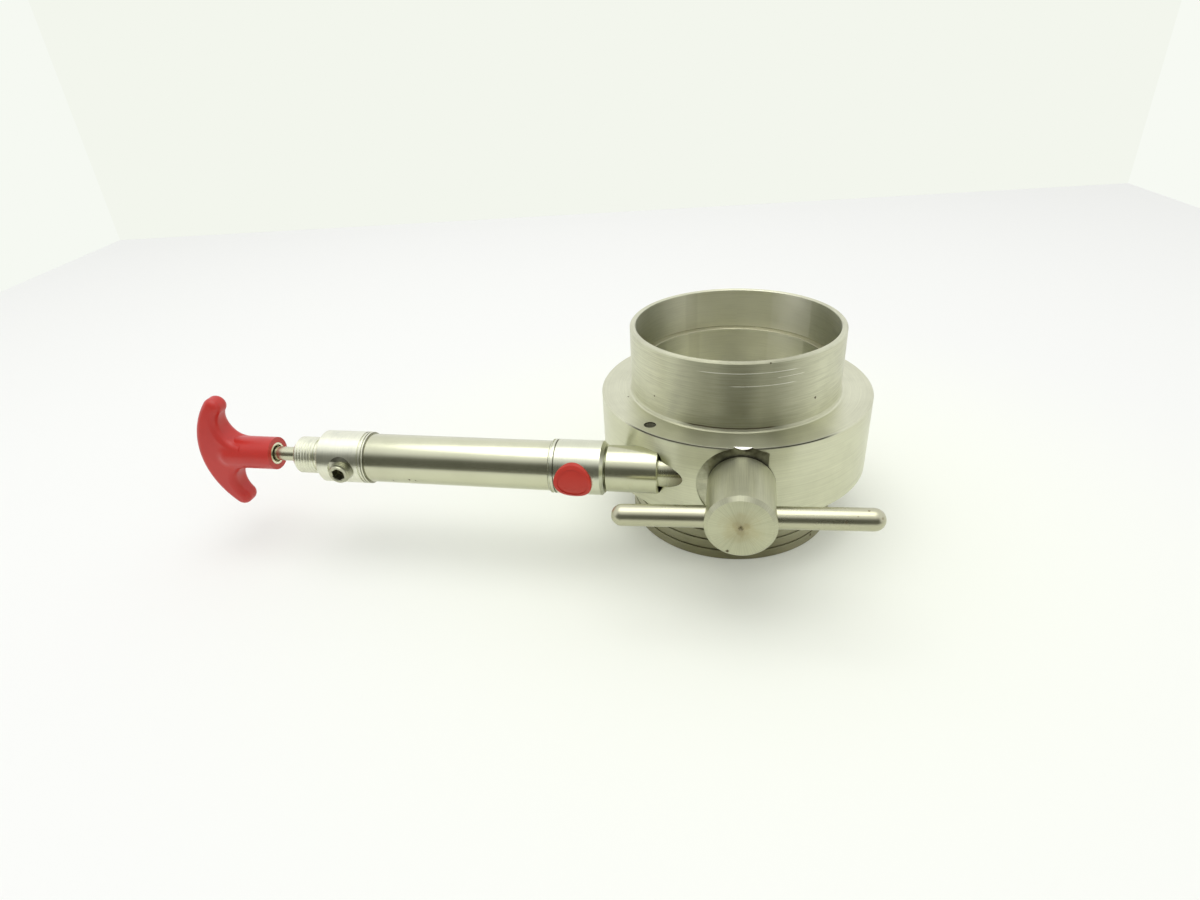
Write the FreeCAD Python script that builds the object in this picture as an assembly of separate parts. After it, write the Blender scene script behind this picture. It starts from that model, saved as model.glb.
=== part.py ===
import FreeCAD, Part
import math
import os

# A four inch butterfly valve with a spring-returned locking cylinder.
# The frame has +Z up along the pipe axis, with its origin at the centre of the
# bottom rim. The stem lies along Y and the locking cylinder along X, to the left.
# All lengths are in millimetres and all angles in degrees.

# Valve body
spigot_od = 101.6
spigot_wall = 2.77
spigot_length = 32.3
lower_spigot_step = 0.55
counterbore_depth = 20.4
way_step = 3.33
way_edge = 0.35
body_ring_depth = 14.9
body_height = 38.0
body_edge_chamfer = 0.6
spigot_root_fillet = 1.4
rim_chamfer = 0.5
pipe_groove_depth = 0.7
pipe_groove_width = 1.1
pipe_groove_first = 5.0
pipe_groove_pitch = 5.4
pipe_groove_count = 3

# Elastomer seat in its groove
seat_depth = 1.87
seat_stand = 0.93
seat_height = 20.0
seat_lip = 1.2

# Disc
disc_clearance = 0.32
disc_rim_thickness = 4.2
disc_middle_thickness = 6.6
disc_hub_radius = 10.0
disc_hub_end_clearance = 0.5
disc_screw_radius = 2.0
disc_screw_head_radius = 3.6
disc_screw_head_height = 2.6
disc_screw_sink = 0.4
disc_screw_spacing = 48.0
disc_screw_hex = 3.0

# Stem, knob and tommy bar
stem_offset = 5.0
stem_radius = 6.35
journal_radius = 10.0
knob_radius = 14.7
knob_stand = 30.3
knob_chamfer = 1.6
knob_centre_mark = 1.2
spot_face_radius = 19.4
spot_face_depth = 1.95
knob_gap = 0.3
bar_radius = 4.65
bar_length = 109.4
bar_setback = 8.0
bar_shift = 1.1
bar_tilt = 2.6
shoulder_wall = 1.0

# Stem bearings and seals
bushing_wall = 1.5
rear_bushing_wall = 2.0
rear_bushing_length = 9.8
o_ring_radius = 0.9
front_o_ring_setback = 2.6
rear_o_ring_setback = 3.0

# Locking pin and its sleeve
lock_axis_beyond_seat = 8.23
lock_travel = 12.7
pin_radius = 3.0
pin_chamfer = 0.8
pin_tip_clearance = 2.0
lock_hole_beyond_axis = 1.5
sleeve_radius = 10.74
sleeve_length = 23.7
sleeve_sink = 4.54
sleeve_chamfer = 0.5
sleeve_spigot_radius = 7.5
drill_half_angle = 59.0
guide_length = 12.0
set_screw_radius = 2.7
set_screw_length = 4.5
set_screw_dog_radius = 1.9
set_screw_hex = 2.5
set_screw_setback = 4.8
set_screw_aside = 7.95
set_screw_bite = 1.6

# Pneumatic cylinder
head_radius = 12.6
head_length = 25.2
head_gap = 0.6
head_chamfer = 1.4
head_groove_width = 0.7
head_groove_depth = 0.4
head_groove_setbacks = (1.1, 2.7)
head_spigot_length = 6.5
head_chamber_radius = 7.5
chamber_past_port = 1.0
head_o_ring_radius = 0.85
tube_radius = 11.7
tube_wall = 0.65
tube_length = 90.0
front_nose_radius = 7.9
front_nose_length = 10.4
rear_nose_radius = 9.0
rear_nose_length = 10.6
rear_relief_length = 3.2
rear_relief_radius = 8.1
nose_thread_pitch = 1.5
nose_thread_depth = 0.55
nose_thread_crest = 0.4
nose_end_chamfer = 1.2
port_radius = 5.15
port_setback = 11.75
port_tilt = 4.0
port_face_radius = 6.75
port_face_depth = 0.9
plug_stand = 3.3
plug_length = 6.8
plug_hex = 5.6
plug_hex_depth = 4.4
cap_radius = 8.75
cap_thickness = 1.5
cap_rounding = 0.7
cap_recess_radius = 6.9
cap_recess_depth = 0.35
cap_shank_length = 5.0
cap_shank_wall = 1.0

# Piston, rod and spring
rod_radius = 3.5
rod_stud_radius = 2.5
rod_stud_length = 8.0
rod_bushing_radius = 5.5
rod_bushing_length = 12.0
rod_bushing_recess = 0.4
rod_seal_length = 3.0
piston_length = 18.0
piston_clearance = 0.2
piston_seal_depth = 2.3
piston_seal_width = 3.2
piston_seal_setback = 2.6
pin_collar_radius = 5.0
pin_collar_length = 10.5
spring_wire = 1.4
spring_mean_radius = 8.9
spring_turns = 8

# Pull handle
rod_exposed = 13.5
handle_hub_radius = 8.15
handle_hub_depth = 24.0
handle_reach = 40.2
handle_span = 60.3
handle_tip_reach = 26.5
handle_tip_radius = 4.5
handle_blend_radius = 9.6
handle_blend_inset = 1.5
handle_middle_thickness = 13.6
handle_tip_thickness = 8.7
handle_rounding = 3.4
handle_flank_blend = 9.0
insert_radius = 5.4
insert_bore_radius = 4.4
insert_bore_depth = 3.5
insert_length = 22.0
rod_grip_length = 18.0

# Fits
slip = 0.05
running = 0.04
part_gap = 0.3
axial_play = 0.1
overcut = 5.0

# Sizes that follow from the ones above
mid_z = spigot_length + body_height / 2
total_height = 2 * spigot_length + body_height
spigot_radius = spigot_od / 2
body_radius = spigot_radius + body_ring_depth
knob_reach = body_radius + knob_stand
lower_spigot_radius = spigot_radius + lower_spigot_step
bore_radius = spigot_radius - spigot_wall
way_radius = bore_radius - way_step
seat_outer_radius = way_radius + seat_depth
seat_inner_radius = way_radius - seat_stand
disc_radius = seat_inner_radius - disc_clearance
spot_face_y = -(body_radius - spot_face_depth)
shoulder_y = -(seat_outer_radius + shoulder_wall)
bushing_radius = journal_radius + running + bushing_wall
rear_bushing_radius = stem_radius + running + rear_bushing_wall
rear_bushing_y = seat_outer_radius + part_gap
rear_end_y = rear_bushing_y + rear_bushing_length
lock_axis_y = -(seat_outer_radius + lock_axis_beyond_seat)
body_side_x = -math.sqrt(body_radius ** 2 - lock_axis_y ** 2)
sleeve_end_x = body_side_x + sleeve_sink
set_screw_x = sleeve_end_x - set_screw_setback
set_screw_y = lock_axis_y + set_screw_aside
spigot_inner_y = abs(lock_axis_y) - sleeve_spigot_radius - slip
seat_side_x = math.sqrt(max((seat_outer_radius + slip + shoulder_wall) ** 2 - spigot_inner_y ** 2, 0))
pocket_end_x = min(-seat_side_x, stem_offset - bushing_radius - shoulder_wall)
sleeve_spigot_end_x = pocket_end_x - part_gap
pin_tip_x = stem_offset - journal_radius - pin_tip_clearance
pin_hole_radius = pin_radius + part_gap
tube_bore_radius = tube_radius - tube_wall
sleeve_start_x = sleeve_end_x - sleeve_length
front_face_x = sleeve_start_x - head_gap
front_joint_x = front_face_x - head_length
rear_joint_x = front_joint_x - tube_length
rear_face_x = rear_joint_x - head_length
nose_end_x = rear_face_x - rear_relief_length - rear_nose_length
hub_end_x = nose_end_x - rod_exposed
piston_rear_x = rear_joint_x + head_spigot_length + part_gap
piston_front_x = piston_rear_x + piston_length
front_port_x = front_joint_x + port_setback
rear_port_x = rear_joint_x - port_setback


def place(x, y, z):
    """Short name for a vector."""
    return FreeCAD.Vector(x, y, z)


def round_x(radius, x0, x1, y=lock_axis_y, z=mid_z):
    """A round bar along X."""
    return Part.makeCylinder(radius, x1 - x0, place(x0, y, z), place(1, 0, 0))


def round_y(radius, y0, y1, x=stem_offset, z=mid_z):
    """A round bar along Y."""
    return Part.makeCylinder(radius, y1 - y0, place(x, y0, z), place(0, 1, 0))


def round_z(radius, z0, z1, x=0.0, y=0.0):
    """A round bar along Z."""
    return Part.makeCylinder(radius, z1 - z0, place(x, y, z0), place(0, 0, 1))


def turned_x(profile):
    """A solid turned about the cylinder axis from (x, radius) corners."""
    corners = [place(x, lock_axis_y + r, mid_z) for x, r in profile]
    face = Part.Face(Part.makePolygon(corners + corners[:1]))
    return face.revolve(place(0, lock_axis_y, mid_z), place(1, 0, 0), 360)


def turned_y(profile):
    """A solid turned about the stem axis from (y, radius) corners."""
    corners = [place(stem_offset + r, y, mid_z) for y, r in profile]
    face = Part.Face(Part.makePolygon(corners + corners[:1]))
    return face.revolve(place(stem_offset, 0, mid_z), place(0, 1, 0), 360)


def turned_z(profile):
    """A solid turned about the pipe axis from (radius, z) corners."""
    corners = [place(r, 0, z) for r, z in profile]
    face = Part.Face(Part.makePolygon(corners + corners[:1]))
    return face.revolve(place(0, 0, 0), place(0, 0, 1), 360)


def groove_x(outer, inner, x0, x1):
    """A ring tool about the cylinder axis, for a groove from outer down to inner."""
    return round_x(outer, x0, x1).cut(round_x(inner, x0, x1))


def hexagon_tool(across_flats, depth, position, direction):
    """A hexagonal bar for a key socket, from position along direction."""
    corner = across_flats / math.sqrt(3)
    points = []
    for step in range(7):
        turn = math.radians(60 * step)
        points.append(place(corner * math.cos(turn), corner * math.sin(turn), 0))
    bar = Part.Face(Part.makePolygon(points)).extrude(place(0, 0, depth))
    bar.Placement = FreeCAD.Placement(position, FreeCAD.Rotation(place(0, 0, 1), direction))
    return bar


def ring_of_wire(centre, direction, ring_radius, wire_radius):
    """A torus for an O-ring."""
    return Part.makeTorus(ring_radius, wire_radius, centre, direction)


def save(name, shape):
    """Write one node to its own file."""
    shape.exportStep("parts/" + name + ".step")


def body_blank():
    """The turned body: two tube ends with a thick ring between them, bored in two steps."""
    low = spigot_length
    high = spigot_length + body_height
    ledge = total_height - counterbore_depth
    c = body_edge_chamfer
    f = spigot_root_fillet
    rim = rim_chamfer
    half = math.sqrt(0.5) * f
    edge = [
        (bore_radius + rim / 2, 0),
        (lower_spigot_radius - rim, 0),
        (lower_spigot_radius, rim),
        (lower_spigot_radius, low - f),
        (lower_spigot_radius + f - half, low - f + half),
        (lower_spigot_radius + f, low),
        (body_radius - c, low),
        (body_radius, low + c),
        (body_radius, high - c),
        (body_radius - c, high),
        (spigot_radius + f, high),
        (spigot_radius + f - half, high + f - half),
        (spigot_radius, high + f),
        (spigot_radius, total_height - rim),
        (spigot_radius - rim, total_height),
        (bore_radius + rim / 2, total_height),
        (bore_radius, total_height - rim / 2),
        (bore_radius, ledge),
        (way_radius + way_edge, ledge),
        (way_radius, ledge - way_edge),
        (way_radius, counterbore_depth + way_edge),
        (way_radius + way_edge, counterbore_depth),
        (bore_radius, counterbore_depth),
        (bore_radius, rim / 2),
    ]
    return turned_z(edge)


def body_rings():
    """Ring tools: the seat groove and the grooves of the lower tube end."""
    tools = []
    seat = round_z(seat_outer_radius + slip, mid_z - seat_height / 2, mid_z + seat_height / 2)
    tools.append(seat)
    for step in range(pipe_groove_count):
        low = pipe_groove_first + step * pipe_groove_pitch
        outer = round_z(lower_spigot_radius + overcut, low, low + pipe_groove_width)
        floor = lower_spigot_radius - pipe_groove_depth
        tools.append(outer.cut(round_z(floor, low, low + pipe_groove_width)))
    return tools


def sleeve_pocket():
    """The pocket for the sleeve, its drilled cone and the hole for the sleeve's spigot."""
    wide = sleeve_radius + slip
    narrow = sleeve_spigot_radius + slip
    cone = (wide - narrow) / math.tan(math.radians(drill_half_angle))
    profile = [
        (-body_radius - overcut, 0),
        (-body_radius - overcut, wide),
        (sleeve_end_x, wide),
        (sleeve_end_x + cone, narrow),
        (pocket_end_x, narrow),
        (pocket_end_x, pin_hole_radius),
        (stem_offset, pin_hole_radius),
        (stem_offset, 0),
    ]
    return turned_x(profile)


def valve_body():
    """The body with its seat groove, stem bores, spot face, sleeve pocket and screw hole."""
    body = body_blank()
    tools = body_rings()
    tools.append(round_y(spot_face_radius, -body_radius - overcut, spot_face_y))
    tools.append(round_y(bushing_radius + slip, -body_radius, shoulder_y))
    tools.append(round_y(stem_radius + part_gap, shoulder_y - overcut, rear_bushing_y))
    tools.append(round_y(rear_bushing_radius + slip, way_radius - overcut, rear_end_y + part_gap))
    tools.append(sleeve_pocket())
    body_top = spigot_length + body_height
    tools.append(round_z(set_screw_radius + slip, mid_z, body_top + overcut, set_screw_x, set_screw_y))
    return body.cut(tools)


def seat_ring():
    """The rubber seat with a bevelled lip on each edge and a hole for the stem."""
    low = mid_z - seat_height / 2
    high = mid_z + seat_height / 2
    profile = [
        (seat_outer_radius, low),
        (seat_outer_radius, high),
        (way_radius, high),
        (seat_inner_radius, high - seat_lip),
        (seat_inner_radius, low + seat_lip),
        (way_radius, low),
    ]
    hole = round_y(stem_radius + part_gap, -body_radius, body_radius)
    return turned_z(profile).cut(hole)


def disc_plate():
    """The lens-shaped plate of the disc, thinner at the rim."""
    rim = disc_rim_thickness / 2
    middle = disc_middle_thickness / 2
    profile = [
        (0, mid_z - middle),
        (disc_hub_radius, mid_z - middle),
        (disc_radius - rim / 2, mid_z - rim),
        (disc_radius, mid_z - rim / 2),
        (disc_radius, mid_z + rim / 2),
        (disc_radius - rim / 2, mid_z + rim),
        (disc_hub_radius, mid_z + middle),
        (0, mid_z + middle),
    ]
    plate = turned_z(profile)
    flat = math.sqrt(disc_radius ** 2 - stem_radius ** 2 - stem_offset ** 2) - part_gap
    corner = place(-spigot_od, -flat, mid_z - body_height / 2)
    return plate.common(Part.makeBox(2 * spigot_od, 2 * flat, body_height, corner))


def disc_screw_places():
    """The two screw positions along the stem."""
    return (-disc_screw_spacing / 2, disc_screw_spacing / 2)


def disc():
    """The plate with its hub, bored for the stem and counterbored for two screws."""
    reach = stem_offset + disc_hub_radius
    half = math.sqrt(disc_radius ** 2 - reach ** 2) - disc_hub_end_clearance
    hub = round_y(disc_hub_radius, -half, half)
    blank = disc_plate().fuse(hub)
    tools = [round_y(stem_radius + slip, -body_radius, body_radius)]
    top = mid_z + disc_hub_radius
    seat = top - disc_screw_sink - disc_screw_head_height
    for y in disc_screw_places():
        tools.append(round_z(disc_screw_radius + slip, mid_z, top, stem_offset, y))
        tools.append(round_z(disc_screw_head_radius + slip, seat, top + overcut, stem_offset, y))
    return blank.cut(tools).removeSplitter()


def disc_screws():
    """Two socket head screws that hold the disc to the stem."""
    seat = mid_z + disc_hub_radius - disc_screw_sink - disc_screw_head_height
    head_top = seat + disc_screw_head_height
    screws = []
    for y in disc_screw_places():
        shank = round_z(disc_screw_radius, mid_z - stem_radius / 2, seat + slip, stem_offset, y)
        head = round_z(disc_screw_head_radius, seat, head_top, stem_offset, y)
        start = place(stem_offset, y, head_top - disc_screw_head_height / 2)
        socket = hexagon_tool(disc_screw_hex, disc_screw_head_height, start, place(0, 0, 1))
        screws.append(shank.fuse(head).cut(socket).removeSplitter())
    return Part.makeCompound(screws)


def front_o_ring_y():
    """Where the front O-ring lies along the stem."""
    return spot_face_y + front_o_ring_setback


def rear_o_ring_y():
    """Where the rear O-ring lies along the stem."""
    return rear_bushing_y + rear_o_ring_setback


def stem_profile():
    """The stem's outline from the knob's face to the rear end, as (y, radius) corners."""
    w = o_ring_radius + slip
    front = front_o_ring_y()
    rear = rear_o_ring_y()
    knob_back = spot_face_y - knob_gap
    return [
        (-knob_reach, 0),
        (-knob_reach, knob_radius - knob_chamfer),
        (-knob_reach + knob_chamfer, knob_radius),
        (knob_back, knob_radius),
        (knob_back, journal_radius),
        (front - w, journal_radius),
        (front - w, journal_radius - 2 * o_ring_radius),
        (front + w, journal_radius - 2 * o_ring_radius),
        (front + w, journal_radius),
        (shoulder_y - part_gap, journal_radius),
        (shoulder_y - part_gap, stem_radius),
        (rear - w, stem_radius),
        (rear - w, stem_radius - 2 * o_ring_radius),
        (rear + w, stem_radius - 2 * o_ring_radius),
        (rear + w, stem_radius),
        (rear_end_y - part_gap, stem_radius),
        (rear_end_y, stem_radius - part_gap),
        (rear_end_y, 0),
    ]


def bar_direction():
    """The tommy bar's direction: nearly level, with its right end a little high."""
    turn = math.radians(bar_tilt)
    return place(math.cos(turn), 0, math.sin(turn))


def bar_centre():
    """The tommy bar's middle, a little to one side of the stem."""
    return place(stem_offset, -knob_reach + bar_setback, mid_z) + bar_direction() * bar_shift


def bar_along(radius, length):
    """A round bar through the knob on the tommy bar's axis."""
    direction = bar_direction()
    start = bar_centre() - direction * (length / 2)
    return Part.makeCylinder(radius, length, start, direction)


def stem():
    """The stem with its knob, the bar's cross hole, the screw holes and two lock holes."""
    shape = turned_y(stem_profile())
    tools = [bar_along(bar_radius + slip, 4 * knob_radius)]
    for y in disc_screw_places():
        tools.append(round_z(disc_screw_radius + slip, mid_z - stem_radius / 2 - slip, mid_z + knob_radius,
                             stem_offset, y))
    closed_hole = round_x(pin_hole_radius, stem_offset - knob_radius, stem_offset + lock_hole_beyond_axis)
    open_hole = round_z(pin_hole_radius, mid_z - knob_radius, mid_z + lock_hole_beyond_axis,
                        stem_offset, lock_axis_y)
    tools += [closed_hole, open_hole]
    mark = Part.makeCone(knob_centre_mark, 0, knob_centre_mark, place(stem_offset, -knob_reach, mid_z),
                         place(0, 1, 0))
    tools.append(mark)
    return shape.cut(tools)


def tommy_bar():
    """The cross bar with round ends."""
    straight = bar_length - 2 * bar_radius
    bar = bar_along(bar_radius, straight)
    ends = []
    for side in (-1, 1):
        tip = bar_centre() + bar_direction() * (side * straight / 2)
        ends.append(Part.makeSphere(bar_radius, tip))
    return bar.fuse(ends).removeSplitter()


def front_stem_bushing():
    """The plain bearing of the journal, with a window for the lock pin."""
    outer = round_y(bushing_radius, spot_face_y, shoulder_y)
    inner = round_y(journal_radius + running, spot_face_y, shoulder_y)
    window = round_x(pin_hole_radius, stem_offset - bushing_radius - overcut, stem_offset)
    return outer.cut([inner, window])


def rear_stem_bushing():
    """The plain bearing in the blind bore behind the disc."""
    outer = round_y(rear_bushing_radius, rear_bushing_y, rear_end_y)
    return outer.cut(round_y(stem_radius + running, rear_bushing_y, rear_end_y))


def stem_o_ring(y, groove_outer):
    """An O-ring that fills its groove in the stem up to the stem's own surface."""
    centre = place(stem_offset, y, mid_z)
    return ring_of_wire(centre, place(0, 1, 0), groove_outer - o_ring_radius, o_ring_radius)


def set_screw_seat_z():
    """Height of the dimple's floor in the sleeve, under the set screw."""
    aside = set_screw_y - lock_axis_y
    return mid_z + math.sqrt(sleeve_radius ** 2 - aside ** 2) - set_screw_bite


def cylinder_sleeve():
    """The steel sleeve that joins the cylinder to the body and guides the lock pin."""
    c = sleeve_chamfer
    guide_start = sleeve_spigot_end_x - guide_length
    nose_floor = front_face_x + front_nose_length + part_gap
    profile = [
        (sleeve_start_x, front_nose_radius + slip),
        (sleeve_start_x, sleeve_radius - c),
        (sleeve_start_x + c, sleeve_radius),
        (sleeve_end_x - c, sleeve_radius),
        (sleeve_end_x, sleeve_radius - c),
        (sleeve_end_x, sleeve_spigot_radius),
        (sleeve_spigot_end_x - c, sleeve_spigot_radius),
        (sleeve_spigot_end_x, sleeve_spigot_radius - c),
        (sleeve_spigot_end_x, pin_radius + running),
        (guide_start, pin_radius + running),
        (guide_start, rod_radius + part_gap),
        (nose_floor, rod_radius + part_gap),
        (nose_floor, front_nose_radius + slip),
    ]
    dimple = round_z(set_screw_dog_radius + slip, set_screw_seat_z(), mid_z + 2 * sleeve_radius,
                     set_screw_x, set_screw_y)
    return turned_x(profile).cut(dimple)


def sleeve_set_screw():
    """The dog point set screw that keeps the sleeve in the body."""
    seat = set_screw_seat_z()
    shoulder = mid_z + sleeve_radius + slip
    top = shoulder + set_screw_length
    dog = round_z(set_screw_dog_radius, seat, shoulder + slip, set_screw_x, set_screw_y)
    thread = round_z(set_screw_radius, shoulder, top, set_screw_x, set_screw_y)
    start = place(set_screw_x, set_screw_y, top - set_screw_length / 2)
    socket = hexagon_tool(set_screw_hex, set_screw_length, start, place(0, 0, 1))
    return dog.fuse(thread).cut(socket).removeSplitter()


def port_bar(radius, near, far, x):
    """A bar on a port's axis, between two distances from the cylinder axis, tilted down."""
    bar = round_y(radius, lock_axis_y - far, lock_axis_y - near, x, mid_z)
    bar.rotate(place(0, lock_axis_y, mid_z), place(1, 0, 0), port_tilt)
    return bar


def head_blank(joint_x, face_x, side):
    """The round part of a head, with its spigot in the tube; side is +1 for the front head."""
    c = head_chamfer
    spigot = tube_bore_radius - slip
    profile = [
        (joint_x - side * head_spigot_length, 0),
        (joint_x - side * head_spigot_length, spigot),
        (joint_x, spigot),
        (joint_x, head_radius - head_groove_depth),
        (joint_x + side * head_groove_depth, head_radius),
        (face_x - side * c, head_radius),
        (face_x, head_radius - c),
        (face_x, 0),
    ]
    return turned_x(profile)


def head_cuts(joint_x, side, outer_x):
    """The tools that both heads share: chamber, rod bore, seal bore, O-ring groove and port."""
    mouth = joint_x - side * (head_spigot_length + overcut)
    bushing_in = outer_x - side * (rod_bushing_recess + rod_bushing_length)
    seal_in = bushing_in - side * rod_seal_length
    port_x = joint_x + side * port_setback
    tools = [
        span_x(head_chamber_radius, mouth, port_x + side * (port_radius + chamber_past_port)),
        span_x(rod_radius + part_gap, port_x, outer_x + side * overcut),
        span_x(rod_bushing_radius + slip, seal_in, outer_x + side * overcut),
        port_bar(port_radius, head_chamber_radius / 2, head_radius + overcut, port_x),
        port_bar(port_face_radius, head_radius - port_face_depth, head_radius + overcut, port_x),
    ]
    groove = joint_x - side * head_spigot_length / 2
    w = head_o_ring_radius + slip
    inner = tube_bore_radius - 2 * head_o_ring_radius - slip
    tools.append(groove_x(tube_bore_radius + overcut, inner, groove - w, groove + w))
    for setback in head_groove_setbacks:
        start = joint_x + side * setback
        w = head_groove_width / 2
        tools.append(groove_x(head_radius + overcut, head_radius - head_groove_depth, start - w, start + w))
    return tools


def span_x(radius, a, b):
    """A round bar along the cylinder axis between two places in either order."""
    return round_x(radius, min(a, b), max(a, b))


def front_head():
    """The aluminium head beside the valve, with its nose screwed into the sleeve."""
    outer_x = front_face_x + front_nose_length
    blank = head_blank(front_joint_x, front_face_x, 1)
    nose = round_x(front_nose_radius, front_face_x - overcut, outer_x)
    return blank.fuse(nose).cut(head_cuts(front_joint_x, 1, outer_x)).removeSplitter()


def rear_nose():
    """The threaded mounting nose, drawn as rings at its pitch, and its relief."""
    count = int((rear_nose_length - nose_end_chamfer) // nose_thread_pitch)
    start = nose_end_x + nose_end_chamfer
    low = rear_nose_radius - nose_thread_depth
    flank = (nose_thread_pitch - nose_thread_crest) / 2
    profile = [(nose_end_x, 0), (nose_end_x, rear_nose_radius - nose_end_chamfer)]
    for step in range(count):
        crest = start + step * nose_thread_pitch
        profile.append((crest, rear_nose_radius))
        profile.append((crest + nose_thread_crest, rear_nose_radius))
        profile.append((crest + nose_thread_crest + flank, low))
    relief = rear_face_x - rear_relief_length
    profile += [
        (relief, low),
        (relief, rear_relief_radius),
        (rear_face_x + overcut, rear_relief_radius),
        (rear_face_x + overcut, 0),
    ]
    return turned_x(profile)


def rear_head():
    """The aluminium head at the handle's end, with its threaded nose."""
    blank = head_blank(rear_joint_x, rear_face_x, -1).fuse(rear_nose())
    return blank.cut(head_cuts(rear_joint_x, -1, nose_end_x)).removeSplitter()


def cylinder_tube():
    """The thin polished tube between the heads."""
    return round_x(tube_radius, rear_joint_x, front_joint_x).cut(
        round_x(tube_bore_radius, rear_joint_x, front_joint_x))


def head_o_rings():
    """The two O-rings that seal the heads in the tube."""
    rings = []
    for x in (front_joint_x - head_spigot_length / 2, rear_joint_x + head_spigot_length / 2):
        centre = place(x, lock_axis_y, mid_z)
        radius = tube_bore_radius - head_o_ring_radius
        rings.append(ring_of_wire(centre, place(1, 0, 0), radius, head_o_ring_radius))
    return Part.makeCompound(rings)


def rod_sleeve(a, b):
    """A short bush on the cylinder axis that the rod runs in."""
    return span_x(rod_bushing_radius, a, b).cut(span_x(rod_radius + running, a, b))


def outer_ends():
    """The outer end of each head, with the way that the head points."""
    return ((front_face_x + front_nose_length, 1), (nose_end_x, -1))


def rod_bushings():
    """The bronze bush in each head."""
    bushes = []
    for outer_x, side in outer_ends():
        start = outer_x - side * rod_bushing_recess
        bushes.append(rod_sleeve(start, start - side * rod_bushing_length))
    return Part.makeCompound(bushes)


def rod_seals():
    """The lip seal behind each bush, drawn as a plain ring."""
    seals = []
    for outer_x, side in outer_ends():
        start = outer_x - side * (rod_bushing_recess + rod_bushing_length)
        seals.append(rod_sleeve(start, start - side * rod_seal_length))
    return Part.makeCompound(seals)


def rear_port_plug():
    """The hexagon socket pipe plug, which stands proud of its spot face."""
    face = head_radius - port_face_depth + plug_stand
    body = port_bar(port_radius - slip, face - plug_length, face, rear_port_x)
    turn = math.radians(port_tilt)
    inward = place(0, math.cos(turn), math.sin(turn))
    start = place(rear_port_x, lock_axis_y, mid_z) - inward * (face + overcut)
    socket = hexagon_tool(plug_hex, plug_hex_depth + overcut, start, inward)
    return body.cut(socket)


def cap_skin(inner, outer, radius, x):
    """A round piece of a skin bent round the head, between two radii of the cylinder axis."""
    skin = groove_x(outer, inner, x - 2 * radius, x + 2 * radius)
    return skin.common(port_bar(radius, 0, outer + overcut, x))


def cap_outer_edges(shape, outer):
    """The edges of a shape that lie on the given radius of the cylinder axis."""
    found = []
    for edge in shape.Edges:
        middle = edge.valueAt((edge.FirstParameter + edge.LastParameter) / 2)
        reach = math.hypot(middle.y - lock_axis_y, middle.z - mid_z)
        if abs(reach - outer) < slip:
            found.append(edge)
    return found


def front_port_cap():
    """The soft dust cap: a flange bent round the head, with a raised rim and a hollow shank."""
    inner = head_radius + slip
    outer = inner + cap_thickness
    foot = inner - cap_shank_length
    x = front_port_x
    flange = cap_skin(inner, outer, cap_radius, x)
    flange = flange.makeFillet(cap_rounding, cap_outer_edges(flange, outer))
    shank = port_bar(port_radius - slip, foot, inner + slip, x)
    recess = cap_skin(outer - cap_recess_depth, outer + overcut, cap_recess_radius, x)
    hollow = port_bar(port_radius - cap_shank_wall, foot - overcut, inner - slip, x)
    return flange.fuse(shank).cut([recess, hollow]).removeSplitter()


def piston():
    """The piston, grooved for two lip seals."""
    radius = tube_bore_radius - piston_clearance
    blank = round_x(radius, piston_rear_x, piston_front_x)
    tools = [round_x(rod_stud_radius + running, piston_rear_x, piston_front_x)]
    for start in piston_seal_places():
        end = start + piston_seal_width + 2 * slip
        tools.append(groove_x(radius + overcut, tube_bore_radius - piston_seal_depth - slip, start, end))
    return blank.cut(tools)


def piston_seal_places():
    """Where each piston seal groove starts."""
    rear = piston_rear_x + piston_seal_setback
    front = piston_front_x - piston_seal_setback - piston_seal_width - 2 * slip
    return (rear, front)


def piston_seals():
    """The two seals that run in the tube."""
    seals = []
    for start in piston_seal_places():
        a = start + slip
        b = a + piston_seal_width
        seals.append(groove_x(tube_bore_radius - running, tube_bore_radius - piston_seal_depth, a, b))
    return Part.makeCompound(seals)


def piston_rod():
    """The rod from the handle to the piston, with a stud through the piston."""
    start = hub_end_x - rod_grip_length
    shoulder = piston_rear_x - axial_play
    rod = round_x(rod_radius, start, shoulder)
    stud = round_x(rod_stud_radius, shoulder, piston_front_x + rod_stud_length)
    return rod.fuse(stud)


def lock_pin():
    """The pin with a collar that clamps on the rod's stud, a shaft and a slimmer nose."""
    collar_start = piston_front_x + axial_play
    collar_end = collar_start + pin_collar_length
    shaft_end = sleeve_spigot_end_x - guide_length - lock_travel - 2 * part_gap
    profile = [
        (collar_start, rod_stud_radius + slip),
        (collar_start, pin_collar_radius),
        (collar_end, pin_collar_radius),
        (collar_end, rod_radius),
        (shaft_end, rod_radius),
        (shaft_end, pin_radius),
        (pin_tip_x - pin_chamfer, pin_radius),
        (pin_tip_x, pin_radius - pin_chamfer),
        (pin_tip_x, 0),
        (piston_front_x + rod_stud_length + part_gap, 0),
        (piston_front_x + rod_stud_length + part_gap, rod_stud_radius + slip),
    ]
    return turned_x(profile)


def return_spring():
    """The square-wire spring between the piston and the front head, at its rest length."""
    start = piston_front_x + part_gap + spring_wire / 2
    end = front_joint_x - head_spigot_length - part_gap - spring_wire / 2
    length = end - start
    helix = Part.makeHelix(length / spring_turns, length, spring_mean_radius)
    h = spring_wire / 2
    r = spring_mean_radius
    corners = [place(r - h, 0, -h), place(r + h, 0, -h), place(r + h, 0, h), place(r - h, 0, h)]
    section = Part.makePolygon(corners + corners[:1])
    spring = Part.Wire(helix).makePipeShell([section], True, True)
    spring.Placement = FreeCAD.Placement(place(start, lock_axis_y, mid_z),
                                         FreeCAD.Rotation(place(0, 1, 0), 90))
    return spring


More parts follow.
